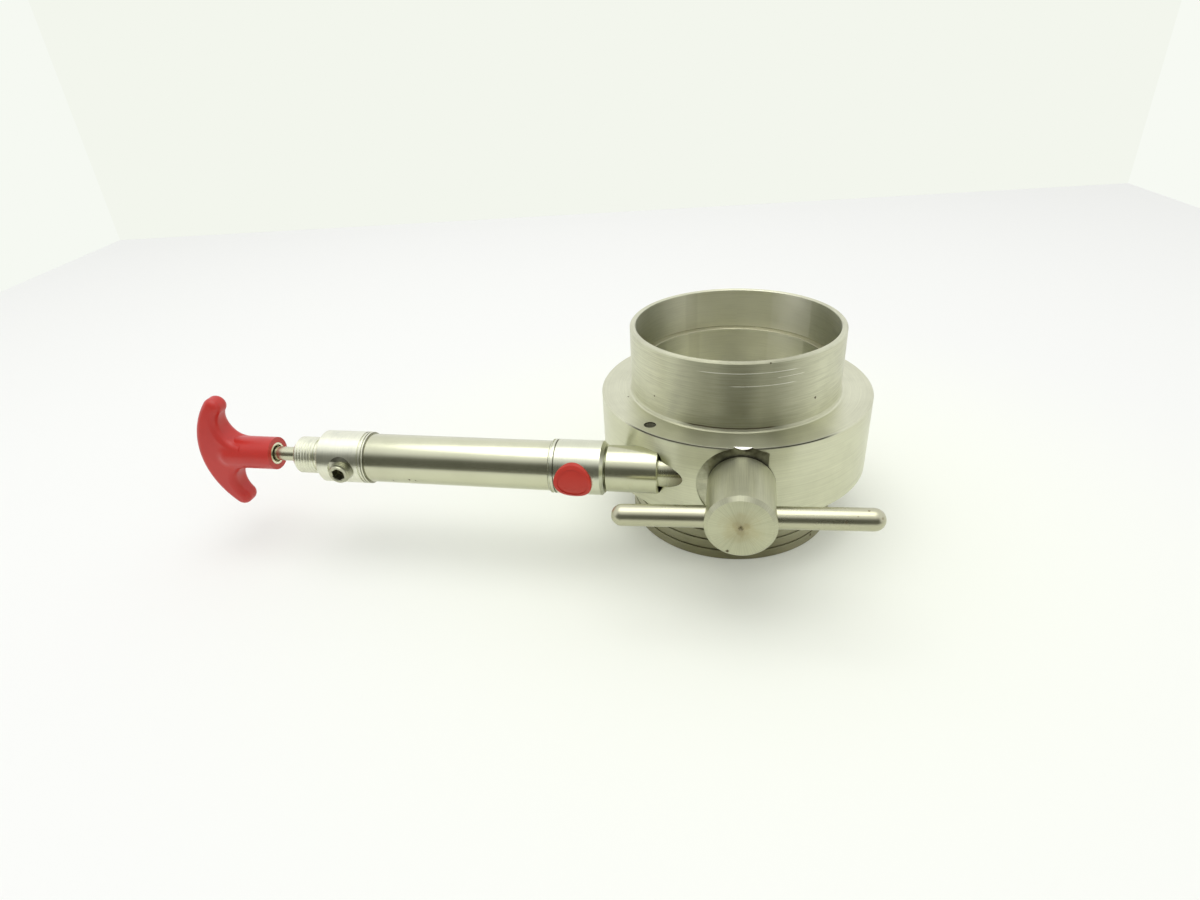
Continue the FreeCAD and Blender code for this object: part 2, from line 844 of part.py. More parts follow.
def handle_point(u, v):
    """A point beside the handle, u back from the hub's end and v above the axis."""
    return place(hub_end_x - u, lock_axis_y - handle_middle_thickness, mid_z + v)


def handle_outline():
    """The cross piece's outline: tangent arcs for the blends, the tips and the back."""
    tip_u = handle_tip_reach
    tip_v = handle_span / 2 - handle_tip_radius
    r = handle_tip_radius
    root_v = handle_hub_radius - handle_blend_inset
    blend = handle_blend_radius
    rise = tip_v - root_v - blend
    blend_u = tip_u - math.sqrt((blend + r) ** 2 - rise ** 2)
    blend_v = root_v + blend
    du = (tip_u - blend_u) / (blend + r)
    dv = rise / (blend + r)
    meet = (blend_u + blend * du, blend_v + blend * dv)
    limit = handle_reach - r
    back_u = (limit ** 2 - tip_u ** 2 - tip_v ** 2) / (2 * (limit - tip_u))
    back_r = handle_reach - back_u
    bu = (tip_u - back_u) / (back_r - r)
    bv = tip_v / (back_r - r)
    leave = (tip_u + r * bu, tip_v + r * bv)
    blend_turn = math.atan2(dv, du)
    blend_mid_turn = (blend_turn - math.pi / 2) / 2
    blend_mid = (blend_u + blend * math.cos(blend_mid_turn), blend_v + blend * math.sin(blend_mid_turn))
    tip_start = math.atan2(-dv, -du) + 2 * math.pi
    tip_end = math.atan2(bv, bu)
    tip_turn = (tip_start + tip_end) / 2
    tip_mid = (tip_u + r * math.cos(tip_turn), tip_v + r * math.sin(tip_turn))
    root = (blend_u, root_v)
    return root, blend_mid, meet, tip_mid, leave


def mirrored(point):
    """The same point below the axis."""
    return handle_point(point[0], -point[1])


def above(point):
    """The same point above the axis."""
    return handle_point(point[0], point[1])


def handle_plate():
    """The cross piece's outline given its thickness, with the bounds of its root."""
    root, blend_mid, meet, tip_mid, leave = handle_outline()
    edges = [
        Part.Arc(above(root), above(blend_mid), above(meet)).toShape(),
        Part.Arc(above(meet), above(tip_mid), above(leave)).toShape(),
        Part.Arc(above(leave), handle_point(handle_reach, 0), mirrored(leave)).toShape(),
        Part.Arc(mirrored(leave), mirrored(tip_mid), mirrored(meet)).toShape(),
        Part.Arc(mirrored(meet), mirrored(blend_mid), mirrored(root)).toShape(),
        Part.LineSegment(mirrored(root), above(root)).toShape(),
    ]
    return Part.Face(Part.Wire(edges)).extrude(place(0, 2 * handle_middle_thickness, 0))


def handle_lens():
    """A bar along X with bulging sides: thick at the hub and thinner at the tips."""
    x = hub_end_x - handle_reach - overcut
    tip = handle_span / 2
    corners = []
    for side in (-1, 1):
        y = lock_axis_y + side * handle_tip_thickness / 2
        corners.append((place(x, y, mid_z - tip), place(x, y, mid_z + tip)))
    bulge = handle_middle_thickness / 2
    near = place(x, lock_axis_y - bulge, mid_z)
    far = place(x, lock_axis_y + bulge, mid_z)
    edges = [
        Part.Arc(corners[0][0], near, corners[0][1]).toShape(),
        Part.LineSegment(corners[0][1], corners[1][1]).toShape(),
        Part.Arc(corners[1][1], far, corners[1][0]).toShape(),
        Part.LineSegment(corners[1][0], corners[0][0]).toShape(),
    ]
    return Part.Face(Part.Wire(edges)).extrude(place(handle_reach + 2 * overcut, 0, 0))


def handle_section():
    """The lens with the hub's bar and its round end in it, blended where they meet."""
    start = hub_end_x - handle_hub_depth
    centre = place(start, lock_axis_y, mid_z)
    bar = round_x(handle_hub_radius, start, hub_end_x + overcut)
    hub = bar.fuse(Part.makeSphere(handle_hub_radius, centre)).removeSplitter()
    both = handle_lens().fuse(hub)
    creases = []
    for edge in both.Edges:
        middle = edge.valueAt((edge.FirstParameter + edge.LastParameter) / 2)
        foot = place(max(middle.x, start), lock_axis_y, mid_z)
        on_hub = abs((middle - foot).Length - handle_hub_radius) < slip
        on_lens = abs(middle.y - lock_axis_y) > handle_tip_thickness / 2
        if on_hub and on_lens and edge.BoundBox.XMax < hub_end_x + overcut - slip:
            creases.append(edge)
    return both.makeFillet(handle_flank_blend, creases)


def is_wall(face):
    """Whether a face stands square to the cross piece's own plane."""
    u0, u1, v0, v1 = face.ParameterRange
    return abs(face.normalAt((u0 + u1) / 2, (v0 + v1) / 2).y) < slip


def handle_cross():
    """The cross piece: its outline cut from the lens, rounded along both sides."""
    blank = handle_plate().common(handle_section())
    root_x = hub_end_x - handle_outline()[0][0]
    rounded = []
    for edge in blank.Edges:
        walls = [is_wall(face) for face in blank.ancestorsOfType(edge, Part.Face)]
        if sorted(walls) == [False, True] and edge.BoundBox.XMin < root_x - slip:
            rounded.append(edge)
    return blank.makeFillet(handle_rounding, rounded)


def pull_handle():
    """The T handle: the cross piece on a round hub, bored for the metal insert."""
    hub_floor = hub_end_x - handle_hub_depth
    hub = round_x(handle_hub_radius, hub_floor, hub_end_x)
    dome = Part.makeSphere(handle_hub_radius, place(hub_floor, lock_axis_y, mid_z))
    shape = handle_cross().fuse([hub, dome])
    bore = round_x(insert_radius + slip, hub_end_x - insert_length - slip, hub_end_x + overcut)
    return shape.cut(bore).removeSplitter()


def handle_insert():
    """The metal insert that the rod screws into, with a wider mouth round the rod."""
    outer = round_x(insert_radius, hub_end_x - insert_length, hub_end_x)
    mouth = round_x(insert_bore_radius, hub_end_x - insert_bore_depth, hub_end_x + overcut)
    bore = round_x(rod_radius + slip, hub_end_x - rod_grip_length - slip, hub_end_x)
    return outer.cut([mouth, bore])


os.makedirs("parts", exist_ok=True)

save("valve_body", valve_body())
save("seat_ring", seat_ring())
save("front_stem_bushing", front_stem_bushing())
save("rear_stem_bushing", rear_stem_bushing())
save("disc", disc())
save("disc_screws", disc_screws())
save("stem", stem())
save("tommy_bar", tommy_bar())
save("front_stem_o_ring", stem_o_ring(front_o_ring_y(), journal_radius))
save("rear_stem_o_ring", stem_o_ring(rear_o_ring_y(), stem_radius))
save("cylinder_sleeve", cylinder_sleeve())
save("sleeve_set_screw", sleeve_set_screw())
save("front_head", front_head())
save("rear_head", rear_head())
save("cylinder_tube", cylinder_tube())
save("head_o_rings", head_o_rings())
save("rod_bushings", rod_bushings())
save("rod_seals", rod_seals())
save("rear_port_plug", rear_port_plug())
save("front_port_cap", front_port_cap())
save("piston", piston())
save("piston_seals", piston_seals())
save("piston_rod", piston_rod())
save("lock_pin", lock_pin())
save("return_spring", return_spring())
save("pull_handle", pull_handle())
save("handle_insert", handle_insert())
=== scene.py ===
"""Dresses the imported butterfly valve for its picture: studio, finishes and fine detail."""

import logging
import math
from dataclasses import dataclass, replace
from enum import Enum

import bmesh
import bpy
from mathutils import Matrix, Vector


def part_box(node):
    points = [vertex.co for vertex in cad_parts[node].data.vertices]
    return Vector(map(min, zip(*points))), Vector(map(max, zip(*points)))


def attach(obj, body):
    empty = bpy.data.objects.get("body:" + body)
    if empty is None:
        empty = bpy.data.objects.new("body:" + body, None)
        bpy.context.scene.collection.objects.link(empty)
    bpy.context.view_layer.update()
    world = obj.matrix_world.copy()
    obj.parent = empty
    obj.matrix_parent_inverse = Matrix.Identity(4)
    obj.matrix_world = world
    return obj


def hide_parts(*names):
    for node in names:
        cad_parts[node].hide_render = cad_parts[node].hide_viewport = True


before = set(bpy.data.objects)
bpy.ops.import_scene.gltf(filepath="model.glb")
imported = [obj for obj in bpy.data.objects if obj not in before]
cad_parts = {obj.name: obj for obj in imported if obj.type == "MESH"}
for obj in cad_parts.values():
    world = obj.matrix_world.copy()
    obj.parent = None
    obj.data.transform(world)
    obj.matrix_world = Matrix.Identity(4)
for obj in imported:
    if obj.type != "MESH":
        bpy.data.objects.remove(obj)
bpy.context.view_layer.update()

log = logging.getLogger("valve")

Node = bpy.types.Node
Tree = bpy.types.NodeTree
Feed = bpy.types.Node | bpy.types.NodeSocket
Pair = tuple[float, float]
Triple = tuple[float, float, float]

MM = 0.001
MERGE_M = 1e-7
NOWHERE_MM = 1000.0  # further out than any place on the valve
QUARTER_TURN = 0.25  # a share of a full turn, which lays a glint's long side across the rings
ALL_ROUND = (-200.0, 200.0)  # degrees, past both ends so that a line doesn't fade
SMOOTH = {"interpolation_type": "SMOOTHSTEP"}
MIX_COLOUR = {"data_type": "RGBA"}
FLAT_NOISE = {"noise_dimensions": "2D"}
MATH = "ShaderNodeMath"
VECTOR_MATH = "ShaderNodeVectorMath"
MAP_RANGE = "ShaderNodeMapRange"
NOISE = "ShaderNodeTexNoise"


class Axis(Enum):
    """The direction that a piece was turned about, with the front and the side that its angles start from."""

    X = ((1.0, 0.0, 0.0), (0.0, -1.0, 0.0), (0.0, 0.0, 1.0))
    Y = ((0.0, 1.0, 0.0), (0.0, 0.0, 1.0), (1.0, 0.0, 0.0))
    Z = ((0.0, 0.0, 1.0), (0.0, -1.0, 0.0), (1.0, 0.0, 0.0))


def linear(colour: str) -> tuple[float, float, float, float]:
    """Turn an sRGB hex colour to linear light.

    Args:
        colour: the colour as "#RRGGBB".

    Returns:
        Red, green, blue and an alpha of one.
    """
    parts = [int(colour[i:i + 2], 16) / 255 for i in (1, 3, 5)]
    light = [p / 12.92 if p <= 0.04045 else ((p + 0.055) / 1.055) ** 2.4 for p in parts]
    return (light[0], light[1], light[2], 1.0)


def add(tree: Tree, kind: str, settings: dict | str | None = None, inputs: dict | None = None) -> Node:
    """Add one node with its settings and links.

    Args:
        tree: the node tree that gets the node.
        kind: Blender's name for the node type.
        settings: values of the node's own attributes, or only the name of its operation.
        inputs: for each socket, by name or number, a value, the output that feeds it, or the node whose
            first output in use feeds it.

    Returns:
        The new node.
    """
    node = tree.nodes.new(kind)
    if isinstance(settings, str):
        settings = {"operation": settings}
    for key, value in (settings or {}).items():
        setattr(node, key, value)
    for key, value in (inputs or {}).items():
        if isinstance(value, Node):
            value = next(output for output in value.outputs if output.enabled)
        if isinstance(value, bpy.types.NodeSocket):
            tree.links.new(value, node.inputs[key])
        else:
            node.inputs[key].default_value = value
    return node


def span(start: float, end: float, first: float = 0.0, last: float = 1.0) -> dict[str, float]:
    """The limits of a map from one range of values to another, by the names of its sockets."""
    return {"From Min": start, "From Max": end, "To Min": first, "To Max": last}


def metres(place_mm: Triple) -> Triple:
    """A place in metres."""
    return tuple(part * MM for part in place_mm)


def centre_of(node: str) -> Triple:
    """The middle of a CAD node's box, in metres."""
    low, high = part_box(node)
    return tuple((low + high) / 2)


PIPE_AXIS = (0.0, 0.0, centre_of("valve_body")[2])
STEM_AXIS = centre_of("front_stem_bushing")
LOCK_AXIS = centre_of("cylinder_tube")
PORT = centre_of("rear_port_plug")


@dataclass(frozen=True)
class Spot:
    """A small mark of rust, soiling or bare metal, or a patch of painted shade, by its place on the part."""

    place_mm: Triple
    radius_mm: float
    colour: str = "#4A3A24"
    strength: float = 0.8
    ragged: float = 0.5
    tears: float = 1.6
    core: float = 0.5
    rim: float = 1.1
    dulls: float = 0.3


@dataclass(frozen=True)
class RecessShade:
    """Painted shade in a pocket round an axis along Y, from its mouth to its floor, darker towards its top
    and broken into patches.
    """

    axis_mm: Triple
    radius_mm: float
    front_mm: float
    floor_mm: float
    top_mm: float
    colour: str = "#352C1E"
    strength: float = 0.95
    thin_share: float = 0.4
    fade_mm: float = 0.8
    patch_mm: float = 3.846154
    patch_part: Pair = (0.3, 0.65)


@dataclass(frozen=True)
class PaintedReflectionBand:
    """A strip along the axis painted lighter or darker as a reflection, by its angle."""

    middle_deg: float
    half_deg: float
    colour: str
    strength: float
    soft_deg: float = 1.0
    outside: bool = False


@dataclass(frozen=True)
class LineGlintOrShade:
    """A thin line part of the way round, by its height and its ends in degrees: a tool line painted bright as
    its glint, a dark joint or edge line, or painted shade where one surface meets another.
    """

    height_mm: float
    from_deg: float
    to_deg: float
    half_mm: float = 0.25
    # near white by default: the glint of a tool line, painted in
    colour: str = "#FFFFF2"
    full_share: float = 0.75
    groove_mm: float = 0.05


@dataclass(frozen=True)
class Site:
    """A point of a turned surface: its place in the frame, and how it lies to the axis."""

    tree: Tree
    where: Feed
    along: Feed
    out: Feed
    turn: Feed
    tangent: Feed


@dataclass(frozen=True)
class Finish:
    """What every finish has: a name, a colour, a roughness and its spots."""

    name: str
    colour: str
    roughness: float
    spots: tuple[Spot, ...] = ()

    def material(self) -> bpy.types.Material:
        """Make the material the first time that it is asked for.

        Returns:
            The material.
        """
        if self.name not in bpy.data.materials:
            made = bpy.data.materials.new(self.name)
            made.use_nodes = True
            made.node_tree.nodes.clear()
            shader = self.shader(made.node_tree)
            add(made.node_tree, "ShaderNodeOutputMaterial", inputs={"Surface": shader})
        return bpy.data.materials[self.name]

    def shader(self, tree: Tree) -> Node:
        """Fill the material's tree and return its shader."""
        raise NotImplementedError

    def spotted(self, tree: Tree, where: Feed, colour: Feed, gloss: Feed) -> tuple[Feed, Feed]:
        """Lay the spots over a colour and dull the gloss under them.

        Args:
            tree: the material's tree.
            where: the place on the piece.
            colour: the colour without spots.
            gloss: the roughness without spots.

        Returns:
            The colour and the roughness with the spots.
        """
        for spot in self.spots:
            reach = spot.radius_mm * MM
            far = add(tree, VECTOR_MATH, "DISTANCE", {0: where, 1: metres(spot.place_mm)})
            edge = add(tree, NOISE, inputs={
                "Vector": where, "Scale": spot.tears / reach, "Detail": 3.0})
            torn = add(tree, MATH, "MULTIPLY_ADD", {0: edge, 1: 2 * spot.ragged * reach, 2: far})
            inside = add(tree, MAP_RANGE, SMOOTH, {"Value": torn, **span(
                reach * (spot.core + spot.ragged), reach * (spot.rim + spot.ragged), spot.strength, 0.0)})
            colour = add(tree, "ShaderNodeMix", MIX_COLOUR, {
                "Factor": inside, "A": colour, "B": linear(spot.colour)})
            gloss = add(tree, MATH, "MULTIPLY_ADD", {0: inside, 1: spot.dulls, 2: gloss})
        return colour, gloss


@dataclass(frozen=True)
class TurnedMetal(Finish):
    """Metal off a lathe: fine rings round an axis, which draw each reflection out across them."""

    dark: str = "#8F8F74"
    axis: Axis = Axis.Z
    centre: Triple = (0.0, 0.0, 0.0)
    # The real feed is near 0.15 mm, too fine to show, so the rings are drawn about twice as coarse.
    ring_mm: float = 0.35
    ring_height_mm: float = 0.002
    ring_part: Pair = (0.3, 0.62)
    ring_tone: float = 0.12
    ring_dulls: float = 0.06
    line_around_mm: float = 16.0
    line_along_mm: float = 0.7
    line_radius_mm: float = 50.0
    lines: float = 0.5
    fine_share: float = 0.35
    smudge_mm: float = 22.0
    smudge_part: Pair = (0.35, 0.7)
    smudge_gloss: Pair = (0.88, 1.15)
    cloud_smudges: float = 1.7
    cloud_part: Pair = (0.42, 0.72)
    cloud_tone: float = 0.22
    scratch_mm: float = 1.2
    scratch_turns: Pair = (0.5, -0.9)
    scratch_lean: float = 0.7
    scratch_squeeze: Triple = (1.0, 0.05, 0.05)  # the second and third make each scratch twenty times longer
    scratch_part: Pair = (0.70, 0.78)
    scratch_dulls: float = 0.12
    scratches: float = 0.4
    anisotropy: float = 0.5
    coarse_beyond_mm: float = NOWHERE_MM
    coarse_inside_mm: float = 0.0
    coarse_roughness: float = 0.36
    bore_mm: float = 0.0
    ledge_mm: float = 0.0
    ledge_half_mm: float = 0.4
    ledge_colour: str = "#B4B296"
    painted_reflection_bands: tuple[PaintedReflectionBand, ...] = ()
    lines_glints_and_shade: tuple[LineGlintOrShade, ...] = ()
    rust_and_shade_mm: Pair | None = None
    rust_and_shade_tone: float = 0.75
    rust_and_shade_colour: str = "#7C7758"
    recess_shade: tuple[RecessShade, ...] = ()

    def shader(self, tree: Tree) -> Node:
        """Place rings, lines and smudges by the distance to the axis, along it and round it.

        Args:
            tree: the material's tree.

        Returns:
            The shader.
        """
        at = self.site(tree)
        across = add(tree, "ShaderNodeCombineXYZ", inputs={"X": at.out, "Y": at.along})
        rings = add(tree, NOISE, FLAT_NOISE, {
            "Vector": across, "Scale": 1 / (self.ring_mm * MM), "Detail": 3.0, "Roughness": 0.65})
        coarse = self.coarse_mask(at)
        streaks = self.scratch_mask(at)
        colour = self.tones(at, rings, self.line_mask(at, coarse))
        if self.bore_mm > 0.0:
            colour = self.with_painted_reflections(at, colour)
        colour = self.stained_and_shaded(at, colour)
        normal = add(tree, "ShaderNodeBump", inputs={
            "Strength": 1.0, "Distance": self.ring_height_mm * MM, "Height": rings})
        normal = add(tree, "ShaderNodeBump", {"invert": True}, {
            "Strength": 1.0, "Distance": 2 * self.ring_height_mm * MM, "Height": streaks, "Normal": normal})
        if self.lines_glints_and_shade:
            colour, normal = self.with_lines_glints_and_shade(at, colour, normal)
        colour, gloss = self.spotted(tree, at.where, colour, self.gloss(at, rings, streaks, coarse))
        return add(tree, "ShaderNodeBsdfPrincipled", inputs={
            "Metallic": 1.0, "Anisotropic": self.anisotropy, "Anisotropic Rotation": QUARTER_TURN,
            "Base Color": colour, "Roughness": gloss, "Normal": normal, "Tangent": at.tangent})

    def site(self, tree: Tree) -> Site:
        """The place on the piece as seen from its axis.

        Args:
            tree: the material's tree.

        Returns:
            The site, with its distances, its angle and its tangent.
        """
        axis, front, side = self.axis.value
        where = add(tree, "ShaderNodeTexCoord").outputs["Object"]
        local = add(tree, VECTOR_MATH, "SUBTRACT", {0: where, 1: self.centre})

        def part(direction: Triple) -> Node:
            """How far the place lies in one direction."""
            return add(tree, VECTOR_MATH, "DOT_PRODUCT", {0: local, 1: direction})

        tangent = add(tree, VECTOR_MATH, "CROSS_PRODUCT", {0: axis, 1: local})
        out = add(tree, VECTOR_MATH, "LENGTH", {0: tangent})
        turn = add(tree, MATH, "ARCTAN2", {0: part(side), 1: part(front)})
        return Site(tree, where, part(axis), out, turn, tangent)

    def coarse_mask(self, at: Site) -> Feed:
        """Where the tool left a coarser finish: beyond a distance along the axis, or inside a radius.

        Args:
            at: the point of the surface.

        Returns:
            One where the finish is coarse, nothing elsewhere.
        """
        far = add(at.tree, MATH, "ABSOLUTE", {0: at.along})
        beyond = add(at.tree, MATH, "GREATER_THAN", {0: far, 1: self.coarse_beyond_mm * MM})
        inside = add(at.tree, MATH, "LESS_THAN", {0: at.out, 1: self.coarse_inside_mm * MM})
        return add(at.tree, MATH, "MAXIMUM", {0: beyond, 1: inside})

    def line_mask(self, at: Site, coarse: Feed) -> Feed:
        """Short faint lines that run round the piece, stronger where the finish is coarse.

        Args:
            at: the point of the surface.
            coarse: one where the finish is coarse.

        Returns:
            How much darker a line makes the metal; below nothing, how much lighter.
        """
        arc = add(at.tree, MATH, "MULTIPLY", {
            0: at.turn, 1: self.line_radius_mm / self.line_around_mm})
        level = add(at.tree, MATH, "ADD", {0: at.along, 1: at.out})
        steps = add(at.tree, MATH, "DIVIDE", {0: level, 1: self.line_along_mm * MM})
        place = add(at.tree, "ShaderNodeCombineXYZ", inputs={"X": arc, "Y": steps})
        noise = add(at.tree, NOISE, FLAT_NOISE, {
            "Vector": place, "Scale": 1.0, "Detail": 2.0, "Roughness": 0.6})
        amount = add(at.tree, MAP_RANGE, inputs={
            "Value": coarse, **span(0.0, 1.0, self.lines * self.fine_share, self.lines)})
        centred = add(at.tree, MATH, "SUBTRACT", {0: noise, 1: 0.5})
        return add(at.tree, MATH, "MULTIPLY", {0: centred, 1: amount})

    def gloss(self, at: Site, rings: Feed, streaks: Feed, coarse: Feed) -> Feed:
        """The roughness: smudges by handling, and a little more in rings and on scratches.

        Args:
            at: the point of the surface.
            rings: the rings' height.
            streaks: one on a scratch.
            coarse: one where the finish is coarse.

        Returns:
            The roughness.
        """
        smudge = add(at.tree, NOISE, inputs={
            "Vector": at.where, "Scale": 1 / (self.smudge_mm * MM), "Detail": 4.0, "Roughness": 0.6})
        level = add(at.tree, "ShaderNodeMix", {"data_type": "FLOAT"}, {
            "Factor": coarse, "A": self.roughness, "B": self.coarse_roughness})
        spread = add(at.tree, MAP_RANGE, inputs={
            "Value": smudge, **span(*self.smudge_part, *self.smudge_gloss)})
        even = add(at.tree, MATH, "MULTIPLY", {0: level, 1: spread})
        worn = add(at.tree, MATH, "MULTIPLY_ADD", {0: rings, 1: self.ring_dulls, 2: even})
        return add(at.tree, MATH, "MULTIPLY_ADD", {0: streaks, 1: self.scratch_dulls, 2: worn})

    def tones(self, at: Site, rings: Feed, lines: Feed) -> Feed:
        """The colour: darker in the rings, in the lines and in faint clouds.

        Args:
            at: the point of the surface.
            rings: the rings' height.
            lines: how much the short lines darken.

        Returns:
            The colour.
        """
        cloud_mm = self.cloud_smudges * self.smudge_mm
        cloud = add(at.tree, NOISE, inputs={
            "Vector": at.where, "Scale": 1 / (cloud_mm * MM), "Detail": 5.0, "Roughness": 0.65})
        base = add(at.tree, MAP_RANGE, inputs={
            "Value": cloud, **span(*self.cloud_part, 0.0, self.cloud_tone)})
        ringed = add(at.tree, MAP_RANGE, inputs={
            "Value": rings, **span(*self.ring_part, self.ring_tone, 0.0)})
        both = add(at.tree, MATH, "ADD", {0: base, 1: ringed})
        total = add(at.tree, MATH, {"operation": "ADD", "use_clamp": True}, {0: both, 1: lines})
        return add(at.tree, "ShaderNodeMix", MIX_COLOUR, {
            "Factor": total, "A": linear(self.colour), "B": linear(self.dark)})

    def with_painted_reflections(self, at: Site, colour: Feed) -> Feed:
        """Lay the painted reflections over the bore and the tube ends, and dull the bore's ledges.

        Args:
            at: the point of the surface.
            colour: the colour without strips.

        Returns:
            The colour with the strips.
        """
        tree = at.tree
        inside = add(tree, MATH, "LESS_THAN", {0: at.out, 1: self.bore_mm * MM})
        height = add(tree, MATH, "ABSOLUTE", {0: at.along})
        spigot = add(tree, MATH, "GREATER_THAN", {0: height, 1: self.coarse_beyond_mm * MM})
        beyond = add(tree, MATH, {"operation": "SUBTRACT", "use_clamp": True}, {
            0: spigot, 1: inside})
        for painted_band in self.painted_reflection_bands:
            outer = math.radians(painted_band.half_deg + painted_band.soft_deg)
            inner = math.radians(max(painted_band.half_deg - painted_band.soft_deg, 0.0))
            off = add(tree, MATH, "SUBTRACT", {0: at.turn, 1: math.radians(painted_band.middle_deg)})
            near = add(tree, MATH, "COSINE", {0: off})
            edge = add(tree, MAP_RANGE, SMOOTH, {
                "Value": near, **span(math.cos(outer), math.cos(inner), 0.0, painted_band.strength)})
            mask = add(tree, MATH, "MULTIPLY", {0: edge, 1: beyond if painted_band.outside else inside})
            colour = add(tree, "ShaderNodeMix", MIX_COLOUR, {
                "Factor": mask, "A": colour, "B": linear(painted_band.colour)})
        level = add(tree, MATH, "COMPARE", {
            0: height, 1: self.ledge_mm * MM, 2: self.ledge_half_mm * MM})
        flat = add(tree, MATH, "MULTIPLY", {0: level, 1: inside})
        return add(tree, "ShaderNodeMix", MIX_COLOUR, {
            "Factor": flat, "A": colour, "B": linear(self.ledge_colour)})

    def stained_and_shaded(self, at: Site, colour: Feed) -> Feed:
        """Darken towards the lower end, as painted shade with some rust, and paint shade into the pockets.

        Args:
            at: the point of the surface.
            colour: the colour without rust or painted shade.

        Returns:
            The colour with the rust and painted shade.
        """
        tree = at.tree
        # painted shade with some rust, darker towards the lower end
        if self.rust_and_shade_mm:
            start, full = self.rust_and_shade_mm
            dull = add(tree, MAP_RANGE, SMOOTH, {
                "Value": at.along, **span(start * MM, full * MM, 0.0, self.rust_and_shade_tone)})
            colour = add(tree, "ShaderNodeMix", MIX_COLOUR, {
                "Factor": dull, "A": colour, "B": linear(self.rust_and_shade_colour)})
        # painted shade in each recess, darker towards its top
        for pocket_shade in self.recess_shade:
            local = add(tree, VECTOR_MATH, "SUBTRACT", {0: at.where, 1: metres(pocket_shade.axis_mm)})
            flat = add(tree, VECTOR_MATH, "MULTIPLY", {0: local, 1: (1.0, 0.0, 1.0)})
            far = add(tree, VECTOR_MATH, "LENGTH", {0: flat})
            place = add(tree, "ShaderNodeSeparateXYZ", inputs={0: at.where})
            depth, height = place.outputs["Y"], place.outputs["Z"]
            near = add(tree, MATH, "LESS_THAN", {0: far, 1: pocket_shade.radius_mm * MM})
            under = add(tree, MATH, "LESS_THAN", {0: height, 1: pocket_shade.top_mm * MM})
            high = add(tree, MAP_RANGE, inputs={
                "Value": height, **span(pocket_shade.axis_mm[2] * MM, pocket_shade.top_mm * MM, pocket_shade.thin_share)})
            within = add(tree, MAP_RANGE, SMOOTH, {
                "Value": depth, **span(pocket_shade.front_mm * MM, (pocket_shade.front_mm + pocket_shade.fade_mm) * MM)})
            before = add(tree, MATH, "LESS_THAN", {0: depth, 1: pocket_shade.floor_mm * MM})
            cloud = add(tree, NOISE, inputs={
                "Vector": at.where, "Scale": 1 / (pocket_shade.patch_mm * MM), "Detail": 4.0})
            mask = add(tree, MAP_RANGE, inputs={
                "Value": cloud, **span(*pocket_shade.patch_part, pocket_shade.strength * pocket_shade.thin_share, pocket_shade.strength)})
            for part in (near, within, before, under, high):
                mask = add(tree, MATH, "MULTIPLY", {0: mask, 1: part})
            colour = add(tree, "ShaderNodeMix", MIX_COLOUR, {
                "Factor": mask, "A": colour, "B": linear(pocket_shade.colour)})
        return colour

    def with_lines_glints_and_shade(self, at: Site, colour: Feed, normal: Feed) -> tuple[Feed, Feed]:
        """Add the listed lines, glints and painted shade outside the bore, as grooves that fade out at their
        ends.

        Args:
            at: the point of the surface.
            colour: the colour without lines.
            normal: the shading normal without lines.

        Returns:
            The colour and the normal with the lines.
        """
        tree = at.tree
        outer = add(tree, MATH, "GREATER_THAN", {0: at.out, 1: self.bore_mm * MM})
        for line in self.lines_glints_and_shade:
            middle = math.radians((line.from_deg + line.to_deg) / 2)
            half = math.radians((line.to_deg - line.from_deg) / 2)
            off = add(tree, MATH, "SUBTRACT", {0: at.along, 1: line.height_mm * MM})
            far = add(tree, MATH, "ABSOLUTE", {0: off})
            thin = add(tree, MAP_RANGE, SMOOTH, {
                "Value": far, **span(0.0, line.half_mm * MM, 1.0, 0.0)})
            aside = add(tree, MATH, "SUBTRACT", {0: at.turn, 1: middle})
            beside = add(tree, MATH, "ABSOLUTE", {0: aside})
            seen = add(tree, MAP_RANGE, SMOOTH, {
                "Value": beside, **span(half * line.full_share, half, 1.0, 0.0)})
            drawn = add(tree, MATH, "MULTIPLY", {0: thin, 1: seen})
            mask = add(tree, MATH, "MULTIPLY", {0: drawn, 1: outer})
            colour = add(tree, "ShaderNodeMix", MIX_COLOUR, {
                "Factor": mask, "A": colour, "B": linear(line.colour)})
            normal = add(tree, "ShaderNodeBump", {"invert": True}, {
                "Strength": 1.0, "Distance": line.groove_mm * MM, "Height": mask, "Normal": normal})
        return colour, normal

    def scratch_mask(self, at: Site) -> Feed:
        """Thin short lines in two directions, at random.

        Args:
            at: the point of the surface.

        Returns:
            A value that is highest on a scratch and nothing beside it.
        """
        masks = []
        for turn in self.scratch_turns:
            skew = add(at.tree, "ShaderNodeMapping", inputs={
                "Vector": at.where, "Rotation": (turn, turn * self.scratch_lean, turn),
                "Scale": self.scratch_squeeze})
            fleck = add(at.tree, NOISE, inputs={
                "Vector": skew, "Scale": 1 / (self.scratch_mm * MM), "Detail": 2.0})
            masks.append(add(at.tree, MAP_RANGE, inputs={
                "Value": fleck, **span(*self.scratch_part, 0.0, self.scratches)}))
        return add(at.tree, MATH, "MAXIMUM", {0: masks[0], 1: masks[1]})


